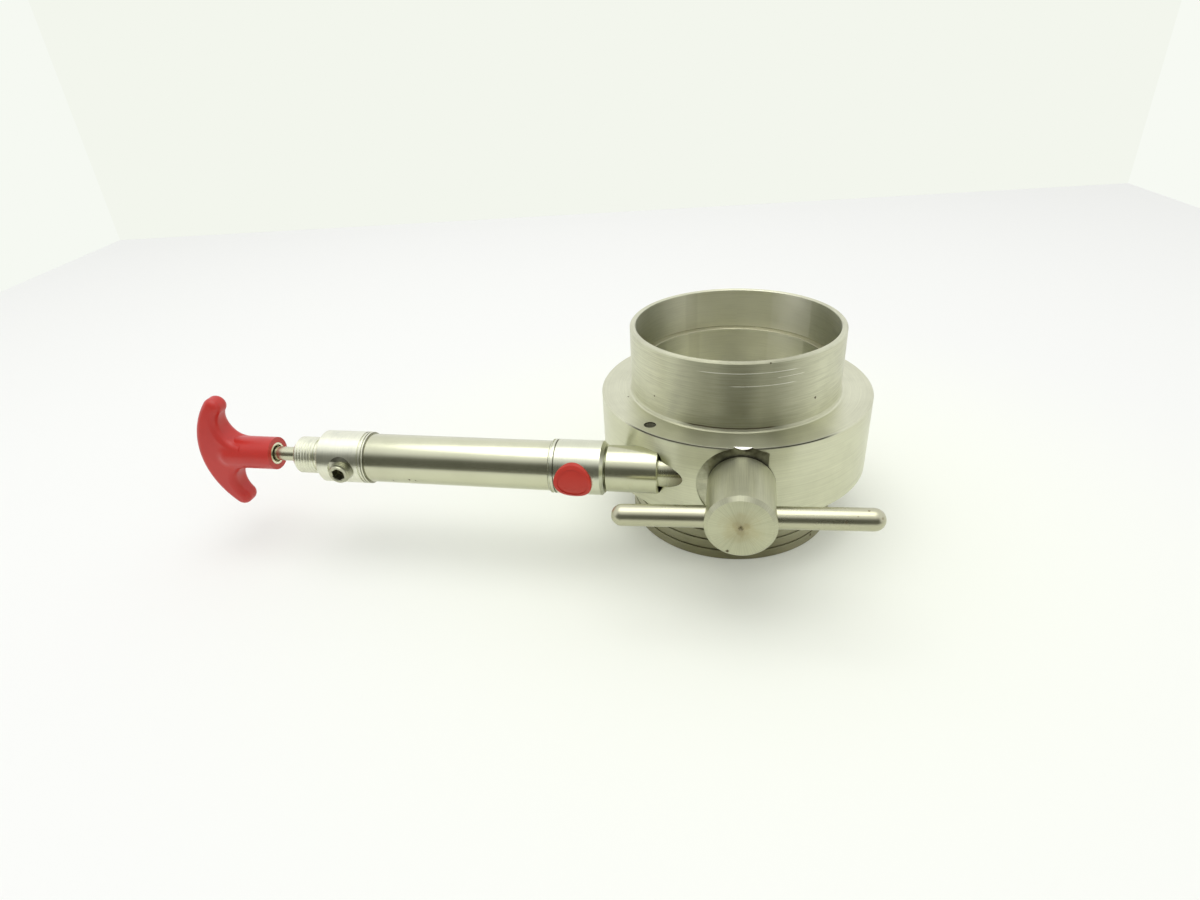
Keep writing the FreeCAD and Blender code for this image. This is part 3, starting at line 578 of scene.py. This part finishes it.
@dataclass(frozen=True)
class MouldedPlastic(Finish):
    """Moulded plastic: one colour all through, a soft gloss and a faint orange peel."""

    peel_mm: float = 1.6
    peel_height_mm: float = 0.02
    peel_strength: float = 0.6
    wear_mm: float = 16.666667
    wear_gloss_part: Pair = (0.35, 0.7)
    wear_gloss: Pair = (0.85, 1.25)
    wear_tone_part: Pair = (0.3, 0.7)
    wear_tone: float = 0.25
    shade: str = "#5E0B10"
    ior: float = 1.5

    def shader(self, tree: Tree) -> Node:
        """A faint peel in the surface and handling marks in the gloss.

        Args:
            tree: the material's tree.

        Returns:
            The shader.
        """
        where = add(tree, "ShaderNodeTexCoord").outputs["Object"]
        peel = add(tree, NOISE, inputs={
            "Vector": where, "Scale": 1 / (self.peel_mm * MM), "Detail": 2.0})
        wear = add(tree, NOISE, inputs={
            "Vector": where, "Scale": 1 / (self.wear_mm * MM), "Detail": 5.0, "Roughness": 0.65})
        least, most = self.wear_gloss
        gloss = add(tree, MAP_RANGE, inputs={
            "Value": wear, **span(*self.wear_gloss_part, self.roughness * least, self.roughness * most)})
        tone = add(tree, MAP_RANGE, inputs={
            "Value": wear, **span(*self.wear_tone_part, 0.0, self.wear_tone)})
        colour = add(tree, "ShaderNodeMix", MIX_COLOUR, {
            "Factor": tone, "A": linear(self.colour), "B": linear(self.shade)})
        bump = add(tree, "ShaderNodeBump", inputs={
            "Strength": self.peel_strength, "Distance": self.peel_height_mm * MM, "Height": peel})
        return add(tree, "ShaderNodeBsdfPrincipled", inputs={
            "IOR": self.ior, "Base Color": colour, "Roughness": gloss, "Normal": bump})


@dataclass(frozen=True)
class SealRubber(Finish):
    """Moulded rubber: matt, with a fine even grain."""

    # A mould's real grain is under 0.1 mm, too fine to show, so it is drawn coarser.
    grain_mm: float = 0.4
    grain_height_mm: float = 0.01
    grain_strength: float = 0.4
    grain_gloss: Pair = (0.9, 1.1)
    ior: float = 1.52

    def shader(self, tree: Tree) -> Node:
        """A fine grain in the surface.

        Args:
            tree: the material's tree.

        Returns:
            The shader.
        """
        where = add(tree, "ShaderNodeTexCoord").outputs["Object"]
        grain = add(tree, NOISE, inputs={
            "Vector": where, "Scale": 1 / (self.grain_mm * MM), "Detail": 3.0})
        least, most = self.grain_gloss
        gloss = add(tree, MAP_RANGE, inputs={
            "Value": grain, **span(0.0, 1.0, self.roughness * least, self.roughness * most)})
        bump = add(tree, "ShaderNodeBump", inputs={
            "Strength": self.grain_strength, "Distance": self.grain_height_mm * MM, "Height": grain})
        return add(tree, "ShaderNodeBsdfPrincipled", inputs={
            "IOR": self.ior, "Base Color": linear(self.colour), "Roughness": gloss, "Normal": bump})


@dataclass
class Studio:
    """A white light tent with its open side behind the camera."""

    lens_mm: float = 21.65
    sensor_mm: float = 36.0
    nearest_m: float = 0.01
    eye_mm: Triple = (0.42, -333.10, 223.88)
    yaw_deg: float = 11.973
    pitch_deg: float = 29.837
    roll_deg: float = 3.698
    sheet_m: float = 6.0
    # the near colour is lighter and greener: a painted pool of light that lifts the valve's shadow
    floor_colours: tuple[str, str] = ("#ECEFE3", "#E7E8E5")
    floor_light_pool_m: Pair = (0.05, 0.32)
    floor_end_m: Pair = (-0.33, -0.2475)
    floor_lift: float = 0.11
    walls_mm_deg: tuple[Triple, ...] = ((-202.0, 730.0, 9.8), (-907.0, 609.0, -79.3), (538.0, 859.0, -85.8))
    wall_colours: tuple[str, ...] = ("#F3F6ED", "#F6F9F2", "#F7FAF3")
    opening: Pair = (0.45, 0.72)
    opening_top: Pair = (0.45, 0.86)
    opening_colours: tuple[str, str] = ("#6A6A62", "#64645E")
    roof: Pair = (0.3, 0.95)
    roof_light: Pair = (1.05, 1.15)
    cloth_light: Triple = (1.0, 1.0, 1.04)
    backdrop: str = "#F8FAF4"
    light: float = 0.80
    lamp_m: float = 1.2
    lamp_watts: float = 6.0
    lamp_at_m: Triple = (-0.15, -0.05, 1.3)

    def camera(self) -> None:
        """Set the camera where the photograph was taken from."""
        yaw = math.radians(self.yaw_deg)
        pitch = math.radians(self.pitch_deg)
        roll = math.radians(self.roll_deg)
        ahead = Vector((-math.sin(yaw) * math.cos(pitch), math.cos(yaw) * math.cos(pitch), -math.sin(pitch)))
        level = Vector((math.cos(yaw), math.sin(yaw), 0.0))
        down = ahead.cross(level)
        right = level * math.cos(roll) + down * math.sin(roll)
        up = level * math.sin(roll) - down * math.cos(roll)
        data = bpy.data.cameras.new("camera")
        data.sensor_width = self.sensor_mm
        data.sensor_fit = "HORIZONTAL"
        data.lens = self.lens_mm
        data.clip_start = self.nearest_m
        camera = bpy.data.objects.new("camera", data)
        turn = Matrix((right, up, -ahead)).transposed()
        camera.matrix_world = Matrix.Translation(Vector(self.eye_mm) * MM) @ turn.to_4x4()
        bpy.context.scene.collection.objects.link(camera)
        bpy.context.scene.camera = camera

    def sheet(self, name: str, cloth: str, place: Matrix) -> tuple[bpy.types.Object, Tree]:
        """Lay or hang one square sheet of tent cloth.

        Args:
            name: the name of the sheet.
            cloth: the name of its material.
            place: where it goes, from flat about the origin.

        Returns:
            The sheet, and the empty tree of its material.
        """
        form = bmesh.new()
        bmesh.ops.create_grid(form, x_segments=1, y_segments=1, size=self.sheet_m / 2)
        bmesh.ops.transform(form, matrix=place, verts=form.verts)
        mesh = bpy.data.meshes.new(name)
        form.to_mesh(mesh)
        form.free()
        material = bpy.data.materials.new(cloth)
        material.use_nodes = True
        material.node_tree.nodes.clear()
        mesh.materials.append(material)
        sheet = bpy.data.objects.new(name, mesh)
        bpy.context.scene.collection.objects.link(sheet)
        return sheet, material.node_tree

    def floor(self) -> None:
        """The tent's white floor, which keeps a soft shadow, painted lighter and greener near the valve as a
        pool of light that lifts it; its end in front is painted dark in gloss, as shade outside the tent.
        """
        tree = self.sheet("floor", "white_tent_cloth", Matrix.Identity(4))[1]
        spot = add(tree, "ShaderNodeTexCoord").outputs["Object"]
        away = add(tree, VECTOR_MATH, "LENGTH", {0: spot})
        # painted pool of light: a lighter, greener floor near the valve
        near = add(tree, MAP_RANGE, SMOOTH, {"Value": away, **span(*self.floor_light_pool_m, 1.0, 0.0)})
        close, distant = (linear(colour) for colour in self.floor_colours)
        tint = add(tree, "ShaderNodeMix", MIX_COLOUR, {"Factor": near, "A": distant, "B": close})
        # painted shade: in gloss the floor's front end turns dark, standing for the less lit table outside
        # the tent
        in_front = add(tree, MAP_RANGE, SMOOTH, {
            "Value": add(tree, "ShaderNodeSeparateXYZ", inputs={0: spot}).outputs["Y"],
            **span(*self.floor_end_m, 1.0, 0.0)})
        path = add(tree, "ShaderNodeLightPath").outputs
        in_gloss = add(tree, MATH, "MULTIPLY", {0: in_front, 1: path["Is Glossy Ray"]})
        outside = add(tree, "ShaderNodeMix", MIX_COLOUR, {
            "Factor": in_gloss, "A": tint, "B": linear(self.opening_colours[0])})
        cloth = add(tree, "ShaderNodeBsdfDiffuse", inputs={"Color": outside})
        direct = add(tree, MATH, "MAXIMUM", {0: path["Is Camera Ray"], 1: path["Is Glossy Ray"]})
        seen = add(tree, MATH, "MAXIMUM", {0: direct, 1: path["Is Transmission Ray"]})
        inside = add(tree, MATH, "SUBTRACT", {0: seen, 1: in_gloss})
        lift = add(tree, MATH, "MULTIPLY", {0: inside, 1: self.floor_lift})
        glow = add(tree, "ShaderNodeEmission", inputs={"Color": linear("#FFFFFF"), "Strength": lift})
        both = add(tree, "ShaderNodeAddShader", inputs={0: cloth, 1: glow})
        add(tree, "ShaderNodeOutputMaterial", inputs={"Surface": both})

    def walls(self) -> None:
        """The tent's back and side walls, which only the camera sees."""
        upright = Matrix.Rotation(math.pi / 2, 4, "X")
        for number, ((x, y, angle), colour) in enumerate(zip(self.walls_mm_deg, self.wall_colours)):
            name = f"tent_wall_{number}"
            turn = Matrix.Rotation(math.radians(angle), 4, "Z")
            wall, tree = self.sheet(name, name, Matrix.Translation((x * MM, y * MM, 0.0)) @ turn @ upright)
            for kind in ("diffuse", "glossy", "transmission", "shadow"):
                setattr(wall, "visible_" + kind, False)
            glow = add(tree, "ShaderNodeEmission", inputs={"Color": linear(colour), "Strength": 1.0})
            add(tree, "ShaderNodeOutputMaterial", inputs={"Surface": glow})

    def world(self) -> None:
        """Soft light from all round; gloss shows bright cloth and the dim open side."""
        world = bpy.data.worlds.new("tent")
        bpy.context.scene.world = world
        world.use_nodes = True
        tree = world.node_tree
        tree.nodes.clear()
        way = add(tree, "ShaderNodeTexCoord").outputs["Generated"]
        height = add(tree, "ShaderNodeSeparateXYZ", inputs={0: way}).outputs["Z"]
        level = add(tree, VECTOR_MATH, "MULTIPLY", {0: way, 1: (1.0, 1.0, 0.0)})
        flat = add(tree, VECTOR_MATH, "NORMALIZE", {0: level})
        facing = add(tree, VECTOR_MATH, "DOT_PRODUCT", {0: flat, 1: (0.0, -1.0, 0.0)})
        opening = add(tree, MAP_RANGE, SMOOTH, {"Value": facing, **span(*self.opening)})
        below = add(tree, MAP_RANGE, SMOOTH, {"Value": height, **span(*self.opening_top, 1.0, 0.0)})
        dim = add(tree, MATH, "MULTIPLY", {0: opening, 1: below})
        roof = add(tree, MAP_RANGE, SMOOTH, {"Value": height, **span(*self.roof, *self.roof_light)})
        cloth = add(tree, VECTOR_MATH, "SCALE", {0: self.cloth_light, "Scale": roof})
        mirrored = add(tree, "ShaderNodeMix", MIX_COLOUR, {
            "Factor": dim, "A": cloth, "B": linear(self.opening_colours[1])})
        path = add(tree, "ShaderNodeLightPath").outputs
        light = add(tree, "ShaderNodeBackground", inputs={
            "Color": linear("#FFFFFF"), "Strength": self.light})
        gloss = add(tree, "ShaderNodeBackground", inputs={"Color": mirrored, "Strength": 1.0})
        backdrop = add(tree, "ShaderNodeBackground", inputs={
            "Color": linear(self.backdrop), "Strength": 1.0})
        in_gloss = add(tree, MATH, "MAXIMUM", {
            0: path["Is Glossy Ray"], 1: path["Is Transmission Ray"]})
        lit = add(tree, "ShaderNodeMixShader", inputs={0: in_gloss, 1: light, 2: gloss})
        seen = add(tree, "ShaderNodeMixShader", inputs={0: path["Is Camera Ray"], 1: lit, 2: backdrop})
        add(tree, "ShaderNodeOutputWorld", inputs={"Surface": seen})

    def lamp(self) -> None:
        """One wide soft light over the tent."""
        data = bpy.data.lights.new("roof_light", "AREA")
        data.shape = "DISK"
        data.size = self.lamp_m
        data.energy = self.lamp_watts
        lamp = bpy.data.objects.new("roof_light", data)
        lamp.location = self.lamp_at_m
        bpy.context.scene.collection.objects.link(lamp)

    def build(self) -> None:
        """Set up camera, floor, walls and light."""
        self.camera()
        self.floor()
        self.walls()
        self.world()
        self.lamp()
        bpy.context.scene.view_settings.view_transform = "Standard"
        log.info("studio ready")


def finished(form: bmesh.types.BMesh, name: str, body: str, finish: Finish,
             sharp_deg: float = 30.0) -> bpy.types.Object:
    """Turn a bmesh into a piece of the object.

    Args:
        form: the piece's shape in the row frame, in metres; it is freed.
        name: the piece's name.
        body: the CAD body that it rides on.
        finish: its material.
        sharp_deg: faces that meet at more than this keep a sharp edge.

    Returns:
        The new object.
    """
    bmesh.ops.remove_doubles(form, verts=form.verts, dist=MERGE_M)
    bmesh.ops.recalc_face_normals(form, faces=form.faces)
    for face in form.faces:
        face.smooth = True
    mesh = bpy.data.meshes.new(name)
    form.to_mesh(mesh)
    form.free()
    mesh.set_sharp_from_angle(angle=math.radians(sharp_deg))
    mesh.materials.append(finish.material())
    piece = bpy.data.objects.new(name, mesh)
    bpy.context.scene.collection.objects.link(piece)
    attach(piece, body)
    log.info("made %s with %d faces", name, len(mesh.polygons))
    return piece


@dataclass
class PortPlug:
    """The pipe plug of the rear port, with its threads and its hexagon socket."""

    finish: Finish
    radius_mm: float = 5.1
    face_mm: float = 15.8
    length_mm: float = 7.6
    pitch_mm: float = 0.94
    depth_mm: float = 0.7
    crest: Pair = (0.40, 0.60)
    lead_mm: float = 0.1
    shoulder_mm: float = 0.3
    chamfer_mm: float = 0.5
    flats_mm: float = 5.6
    socket_mm: float = 4.4
    mouth_mm: float = 3.45
    dish_mm: float = 0.35
    tilt_deg: float = 4.0
    steps: int = 64

    def profile(self) -> list[Pair]:
        """The plug's outline, from the middle of its back to its mouth.

        Returns:
            The corners as (radius, height) in mm.
        """
        low = self.face_mm - self.length_mm
        root = self.radius_mm - self.depth_mm
        corners = [(0.0, low), (root, low)]
        level = low + self.lead_mm
        while level + self.pitch_mm < self.face_mm - self.chamfer_mm:
            corners += [(self.radius_mm, level + share * self.pitch_mm) for share in self.crest]
            level += self.pitch_mm
            corners.append((root, level))
        return corners + [(root + self.shoulder_mm, self.face_mm - self.chamfer_mm), (root, self.face_mm),
                          (self.mouth_mm, self.face_mm)]

    def build(self) -> bpy.types.Object:
        """Spin the outline, sink the socket and set the plug on its port's axis.

        Returns:
            The plug, in place of the plain one.
        """
        form = bmesh.new()
        points = [form.verts.new((r * MM, 0.0, z * MM)) for r, z in self.profile()]
        lines = [form.edges.new(pair) for pair in zip(points, points[1:])]
        bmesh.ops.spin(form, geom=points + lines, cent=(0, 0, 0), axis=(0, 0, 1), dvec=(0, 0, 0),
                       angle=2 * math.pi, steps=self.steps, use_merge=True, use_duplicate=False)
        bmesh.ops.remove_doubles(form, verts=form.verts, dist=MERGE_M)
        self.socket(form, [e for e in form.edges if e.is_boundary])
        tilt = Matrix.Rotation(math.radians(90 + self.tilt_deg), 4, "X")
        middle = Vector((PORT[0], *LOCK_AXIS[1:]))
        bmesh.ops.transform(form, matrix=Matrix.Translation(middle) @ tilt, verts=form.verts)
        piece = finished(form, "port_plug_threads", "housing", self.finish)
        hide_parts("rear_port_plug")
        return piece

    def socket(self, form: bmesh.types.BMesh, mouth: list[bmesh.types.BMEdge]) -> None:
        """Sink a hexagon socket into the open mouth.

        Args:
            form: the plug so far.
            mouth: the edges of its round mouth.
        """
        corner = self.flats_mm / math.sqrt(3) * MM
        made = bmesh.ops.create_circle(form, segments=6, radius=corner, cap_ends=False)
        ring = list({e for v in made["verts"] for e in v.link_edges})
        bmesh.ops.translate(form, verts=made["verts"], vec=(0, 0, (self.face_mm - self.dish_mm) * MM))
        bmesh.ops.bridge_loops(form, edges=mouth + ring)
        deep = bmesh.ops.extrude_edge_only(form, edges=ring)["geom"]
        verts = [g for g in deep if isinstance(g, bmesh.types.BMVert)]
        edges = [g for g in deep if isinstance(g, bmesh.types.BMEdge) and g.is_boundary]
        bmesh.ops.translate(form, verts=verts, vec=(0, 0, (self.dish_mm - self.socket_mm) * MM))
        bmesh.ops.triangle_fill(form, edges=edges, use_beauty=True)


@dataclass
class PocketEdgeHighlight:
    """The chamfer where the knob's spot face breaks through the body's top face, painted bright as its
    highlight.
    """

    finish: Finish
    middle_mm: Triple = (5.0, -63.77, 75.85)
    radius_mm: float = 6.9
    top_mm: float = 70.28
    thick_mm: float = 0.3
    lean_deg: float = 60.0
    segments: int = 96
    facing: float = -0.9

    def build(self) -> bpy.types.Object:
        """Cut the slip from a disc, thicken it and lean its front's shading up, as a rounded edge does.

        Returns:
            The slip of metal.
        """
        form = bmesh.new()
        turn = Matrix.Rotation(math.pi / 2, 4, "X")
        place = Matrix.Translation(Vector(self.middle_mm) * MM)
        bmesh.ops.create_circle(form, segments=self.segments, radius=self.radius_mm * MM, cap_ends=True,
                                matrix=place @ turn)
        bmesh.ops.bisect_plane(form, geom=form.verts[:] + form.edges[:] + form.faces[:], dist=MERGE_M,
                               plane_co=(0, 0, self.top_mm * MM), plane_no=(0, 0, 1), clear_outer=True)
        back = bmesh.ops.extrude_face_region(form, geom=form.faces[:])["geom"]
        bmesh.ops.translate(form, verts=[g for g in back if isinstance(g, bmesh.types.BMVert)],
                            vec=(0, self.thick_mm * MM, 0))
        piece = finished(form, "pocket_edge_highlight", "housing", self.finish)
        lean = math.radians(self.lean_deg)
        leaning = Vector((0.0, -math.cos(lean), math.sin(lean)))
        unchanged = Vector((0.0, 0.0, 0.0))
        piece.data.normals_split_custom_set([
            leaning if face.normal.y < self.facing else unchanged
            for face in piece.data.polygons for _ in face.loop_indices])
        return piece


# Screws of plain steel gone brown: matt, dark and rusty.
PLAIN_SCREW = TurnedMetal("plain_screw_steel", "#5A4C38", 0.55, centre=PIPE_AXIS, dark="#2A2013")
# Sintered bronze: a warm dull gold.
BRONZE = TurnedMetal("sintered_bronze", "#B08D57", 0.42, axis=Axis.X, centre=LOCK_AXIS, dark="#7A5D35",
                     anisotropy=0.2)
# Moulded black rubber: nearly black and matt.
BLACK_SEAL = SealRubber("black_seal_rubber", "#1B1B1B", 0.5)
# Machined steel: grey and satin; its hexagon socket is painted dark as shade.
PLUG_STEEL = TurnedMetal("machined_plug_steel", "#B7B89F", 0.28, axis=Axis.Y, centre=PORT, ring_tone=0.1,
                         # a near-black spot painted in the socket as shade
                         spots=(Spot((PORT[0] / MM, -66.2, 50.5), 3.3, "#2B2417", 0.9, 0.2),))
# Stainless painted near white as the chamfer's highlight: a bright slip without rings.
BRIGHT_EDGE = TurnedMetal("painted_highlight_edge", "#F6F6EA", 0.25, ring_tone=0.0, ring_height_mm=0.0,
                          anisotropy=0.0, lines=0.0)


class SubAssembly:
    """CAD nodes that belong together, with their finishes and the pieces that are made for them."""

    def finishes(self) -> dict[str, Finish]:
        """The finish of each CAD node."""
        raise NotImplementedError

    def pieces(self) -> None:
        """Make the group's own pieces, where it has any."""

    def build(self) -> None:
        """Make the group's own pieces and dress its CAD nodes."""
        self.pieces()
        for node, finish in self.finishes().items():
            material = finish.material()
            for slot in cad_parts[node].material_slots:
                slot.material = material
            log.info("dressed %s in %s", node, finish.name)


@dataclass
class LockCylinder(SubAssembly):
    """The air cylinder that locks the stem: sleeve, heads, tube, ports and all that moves inside."""

    tube_radius_mm: float = 11.7
    sleeve_radius_mm: float = 10.7
    head_radius_mm: float = 12.6
    spigot_mm: float = -20.0
    spigot_half_mm: float = 14.0
    port_shade_mm: float = 6.2

    def finishes(self) -> dict[str, Finish]:
        """Dress the cylinder, with its marks where the photo shows them.

        Returns:
            The finish of each CAD node.
        """
        zero = LOCK_AXIS[0] / MM
        # Drawn and polished stainless: faint lines along it, so that each reflection is one clean stripe.
        tube = TurnedMetal(
            "polished_stainless_tube", "#CDCEB2", 0.20, axis=Axis.X, centre=LOCK_AXIS, ring_tone=0.0,
            ring_height_mm=0.0, anisotropy=0.0, line_radius_mm=self.tube_radius_mm, line_around_mm=0.5,
            line_along_mm=26.0, lines=0.25, scratches=0.25, spots=(
                Spot((-158.2, -64.6, 44.9), 0.5, "#5C5344"), Spot((-149.5, -65.4, 46.3), 0.7, "#6A604E"),
                Spot((-146.6, -65.1, 45.8), 0.5, "#5C5344")))
        # Ground stainless: sharp reflections, and a darker spigot where it enters the body.
        spigot = LineGlintOrShade(self.spigot_mm - zero, *ALL_ROUND, self.spigot_half_mm, "#6F6B54")
        sleeve = TurnedMetal(
            "ground_stainless_sleeve", "#CBCCAF", 0.22, axis=Axis.X, centre=LOCK_AXIS, ring_tone=0.04,
            ring_height_mm=0.0005, anisotropy=0.2, line_radius_mm=self.sleeve_radius_mm, line_around_mm=10.0,
            lines=0.2, scratches=0.25, lines_glints_and_shade=(spigot,))
        # Machined aluminium: pale and bright, with dark fine rings at both joints and painted shade in the
        # port's recess.
        rear, front = (end.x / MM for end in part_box("cylinder_tube"))
        joints = ((rear - 0.1, 0.25, "#4C4937"), (rear - 1.2, 0.3, "#6A6858"), (rear - 2.4, 0.3, "#6A6858"),
                  (front + 0.1, 0.35, "#4C4937"), (front + 2.5, 0.35, "#6A6858"))
        # painted shade in the port's recess round the plug
        pocket_shade = RecessShade((PORT[0] / MM, 0.0, 51.3), self.port_shade_mm, -68.5, -52.5, 57.6, strength=0.9)
        front_head = TurnedMetal(
            "machined_aluminium", "#D6D8C0", 0.26, axis=Axis.X, centre=LOCK_AXIS, dark="#A9AB98",
            ring_tone=0.10, ring_height_mm=0.001, anisotropy=0.35, line_radius_mm=self.head_radius_mm,
            line_around_mm=9.0, lines=0.7, recess_shade=(pocket_shade,),
            lines_glints_and_shade=tuple(LineGlintOrShade(x - zero, *ALL_ROUND, half, colour) for x, half, colour in joints))
        # The same aluminium, lighter, hazier and blotched.
        rear_head = replace(front_head, name="hazy_aluminium", colour="#E9EAD3", dark="#9DA19B",
                            roughness=0.29, smudge_mm=5.0, anisotropy=0.45, lines=0.9)
        # Soft moulded plastic: a dull warm red.
        cap = MouldedPlastic("moulded_cap_plastic", "#C02C1A", 0.45, shade="#A42118")
        # Drawn wire: grey and half bright.
        wire = TurnedMetal("drawn_spring_wire", "#8A8A80", 0.32, axis=Axis.X, centre=LOCK_AXIS,
                           anisotropy=0.2)
        return {
            "cylinder_sleeve": sleeve, "front_head": front_head, "rear_head": rear_head,
            "cylinder_tube": tube, "head_o_rings": BLACK_SEAL, "rod_bushings": BRONZE,
            "rod_seals": BLACK_SEAL, "rear_port_plug": PLUG_STEEL, "front_port_cap": cap,
            "piston": front_head, "piston_seals": BLACK_SEAL, "piston_rod": sleeve, "lock_pin": PLAIN_SCREW,
            "return_spring": wire}

    def pieces(self) -> None:
        """The detailed plug in the rear port."""
        PortPlug(PLUG_STEEL).build()


@dataclass
class ValveBody(SubAssembly):
    """The turned body with its seat, its bearings and the knob's pocket."""

    bore_mm: float = 48.2
    ledge_mm: float = 30.9
    rim_inside_mm: float = 49.4
    ring_half_mm: float = 19.2
    ring_top_mm: float = 70.2
    rust_and_shade_reach: float = 2.6
    pocket_at_mm: Triple = (5.0, 0.0, 51.3)
    pocket_radius_mm: float = 19.7
    pocket_front_mm: float = -64.6
    pocket_clear_mm: float = 0.05

    def finishes(self) -> dict[str, Finish]:
        """Dress the body, with its marks where the photo shows them.

        Returns:
            The finish of each CAD node.
        """
        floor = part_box("front_stem_bushing")[0].y / MM + self.pocket_clear_mm
        # painted shade in the knob's pocket, darker under its top lip
        pocket_shade = RecessShade(self.pocket_at_mm, self.pocket_radius_mm, self.pocket_front_mm, floor, self.ring_top_mm)
        # Turned and lightly brushed stainless: upright soft glints across fine rings, lighter and darker
        # strips painted in as reflections, tool lines painted bright as their glint, a dark line along the
        # top edge, painted shade in the pocket and the spigot's root, and painted shade with some rust
        # towards the lower end.
        steel = TurnedMetal(
            "turned_stainless_body", "#D6D7BB", 0.30, centre=PIPE_AXIS, anisotropy=0.88,
            bore_mm=self.bore_mm, ledge_mm=self.ledge_mm, ring_tone=0.14, lines=0.7, coarse_roughness=0.40,
            coarse_beyond_mm=self.ring_half_mm, coarse_inside_mm=self.rim_inside_mm,
            rust_and_shade_mm=(-self.ring_half_mm, -self.rust_and_shade_reach * self.ring_half_mm), recess_shade=(pocket_shade,), painted_reflection_bands=(
                # strips painted lighter and darker as reflections, in the bore and on the spigot's front
                PaintedReflectionBand(0.0, 150.0, "#9C9F88", 0.55, 28.0), PaintedReflectionBand(180.0, 40.0, "#F4F2DA", 0.6, 22.0),
                PaintedReflectionBand(-150.0, 4.0, "#A9A78C", 0.18), PaintedReflectionBand(144.0, 14.0, "#F6F5E4", 0.3),
                PaintedReflectionBand(6.0, 28.0, "#86846A", 0.4, 14.0, True), PaintedReflectionBand(2.0, 6.0, "#4A4836", 0.24, 6.0, True)),
            spots=(
                Spot((35.35, -36.48, 81.07), 0.75), Spot((-35.5, -36.33, 79.71), 0.5),
                # the large near-black spot is painted shade in the counterbore gap behind the sleeve's end
                Spot((-36.6, -46.9, 67.6), 3.6, "#2A2013", 0.95, 0.2), Spot((-50.5, -18.6, 70.3), 0.6),
                Spot((40.1, -31.9, 3.6), 0.9), Spot((14.8, -48.6, 102.2), 0.5)),
            lines_glints_and_shade=(
                # three tool lines painted bright as their glint
                LineGlintOrShade(46.6, -20.0, 34.0), LineGlintOrShade(40.7, -3.0, 32.0), LineGlintOrShade(43.9, 20.0, 36.0, 0.16),
                # a dark line along the top edge, then painted shade in the spigot's root
                LineGlintOrShade(18.6, -50.0, 47.0, 0.55, "#242218"), LineGlintOrShade(20.5, -26.0, 24.0, 0.6, "#5A5240")))
        # Moulded white rubber: a creamy, matt ring.
        seat = SealRubber("white_seat_rubber", "#DEDACC", 0.55)
        return {"valve_body": steel, "seat_ring": seat, "front_stem_bushing": BRONZE,
                "rear_stem_bushing": BRONZE, "sleeve_set_screw": PLAIN_SCREW}

    def pieces(self) -> None:
        """The chamfer slip over the pocket, painted bright as its highlight."""
        PocketEdgeHighlight(BRIGHT_EDGE).build()


@dataclass
class TurningShaft(SubAssembly):
    """All that turns with the T-bar: stem and knob, bar, disc, screws and stem seals."""

    knob_radius_mm: float = 14.0
    knob_front_mm: float = -96.0
    knob_back_mm: float = -64.3
    bar_radius_mm: float = 4.6

    def finishes(self) -> dict[str, Finish]:
        """Dress the shaft, with its marks where the photo shows them.

        Returns:
            The finish of each CAD node.
        """
        y = self.knob_front_mm
        # painted shade round the knob's back, where it meets the pocket
        back = LineGlintOrShade(self.knob_back_mm - STEM_AXIS[1] / MM, *ALL_ROUND, 1.1, "#38352A")
        # Turned stainless: fine lines along its side, a bare warm patch round its centre and painted shade
        # round its back, where it sits in the pocket.
        knob = TurnedMetal(
            "turned_stainless_knob", "#C2C3A6", 0.36, axis=Axis.Y, centre=STEM_AXIS, anisotropy=0.5,
            ring_tone=0.07, ring_height_mm=0.001, line_radius_mm=self.knob_radius_mm, line_around_mm=0.4,
            line_along_mm=24.0, lines=2.2, lines_glints_and_shade=(back,), spots=(
                Spot((0.1, y, 39.8), 0.8), Spot((12.0, y, 38.9), 0.6),
                Spot((5.0, y, 51.3), 9.0, "#B3A26E", 0.25, 0.6),
                Spot((5.3, y, 51.2), 4.0, "#A58F5C", 0.25, 0.9), Spot((5.3, y, 50.7), 0.6, "#7B6D4E", 0.2)))
        # Ground stainless: one bright and one dark stripe, with small brown marks at the right end.
        bar = TurnedMetal(
            "ground_stainless_bar", "#BBBA9F", 0.27, axis=Axis.X, centre=centre_of("tommy_bar"), ring_mm=30.0,
            ring_tone=0.0, ring_height_mm=0.0, anisotropy=0.0, line_radius_mm=self.bar_radius_mm,
            line_around_mm=0.6, line_along_mm=18.0, lines=0.15, scratches=0.0, spots=(
                Spot((53.7, -88.8, 58.3), 0.6, "#6B5638"), Spot((45.1, -92.3, 54.6), 0.7, "#6B5638", 0.6),
                Spot((58.5, -90.5, 56.0), 0.9, "#7A6A48", 0.5),
                Spot((49.5, -91.3, 57.0), 0.5, "#6B5638", 0.6)))
        # Polished stainless: a clearer mirror than the turned body.
        disc = TurnedMetal("polished_stainless_disc", "#CFD0B6", 0.22, centre=PIPE_AXIS, anisotropy=0.4)
        return {"stem": knob, "tommy_bar": bar, "disc": disc, "disc_screws": PLAIN_SCREW,
                "front_stem_o_ring": BLACK_SEAL, "rear_stem_o_ring": BLACK_SEAL}


class PullHandle(SubAssembly):
    """The red T handle with its light metal insert."""

    def finishes(self) -> dict[str, Finish]:
        """Dress the handle.

        Returns:
            The finish of each CAD node.
        """
        # Moulded plastic: a half-gloss red with broad soft highlights.
        plastic = MouldedPlastic("moulded_handle_plastic", "#C43026", 0.34, shade="#98181A")
        # Turned light metal: a pale, satin ring.
        insert = TurnedMetal("turned_light_metal", "#E2DFC6", 0.30, axis=Axis.X, centre=LOCK_AXIS,
                             dark="#B8B49A")
        return {"pull_handle": plastic, "handle_insert": insert}


def main() -> None:
    """Build the scene in order and report each piece."""
    logging.basicConfig(level=logging.INFO)
    Studio().build()
    for group in (LockCylinder(), ValveBody(), TurningShaft(), PullHandle()):
        group.build()


if __name__ == "__main__":
    main()
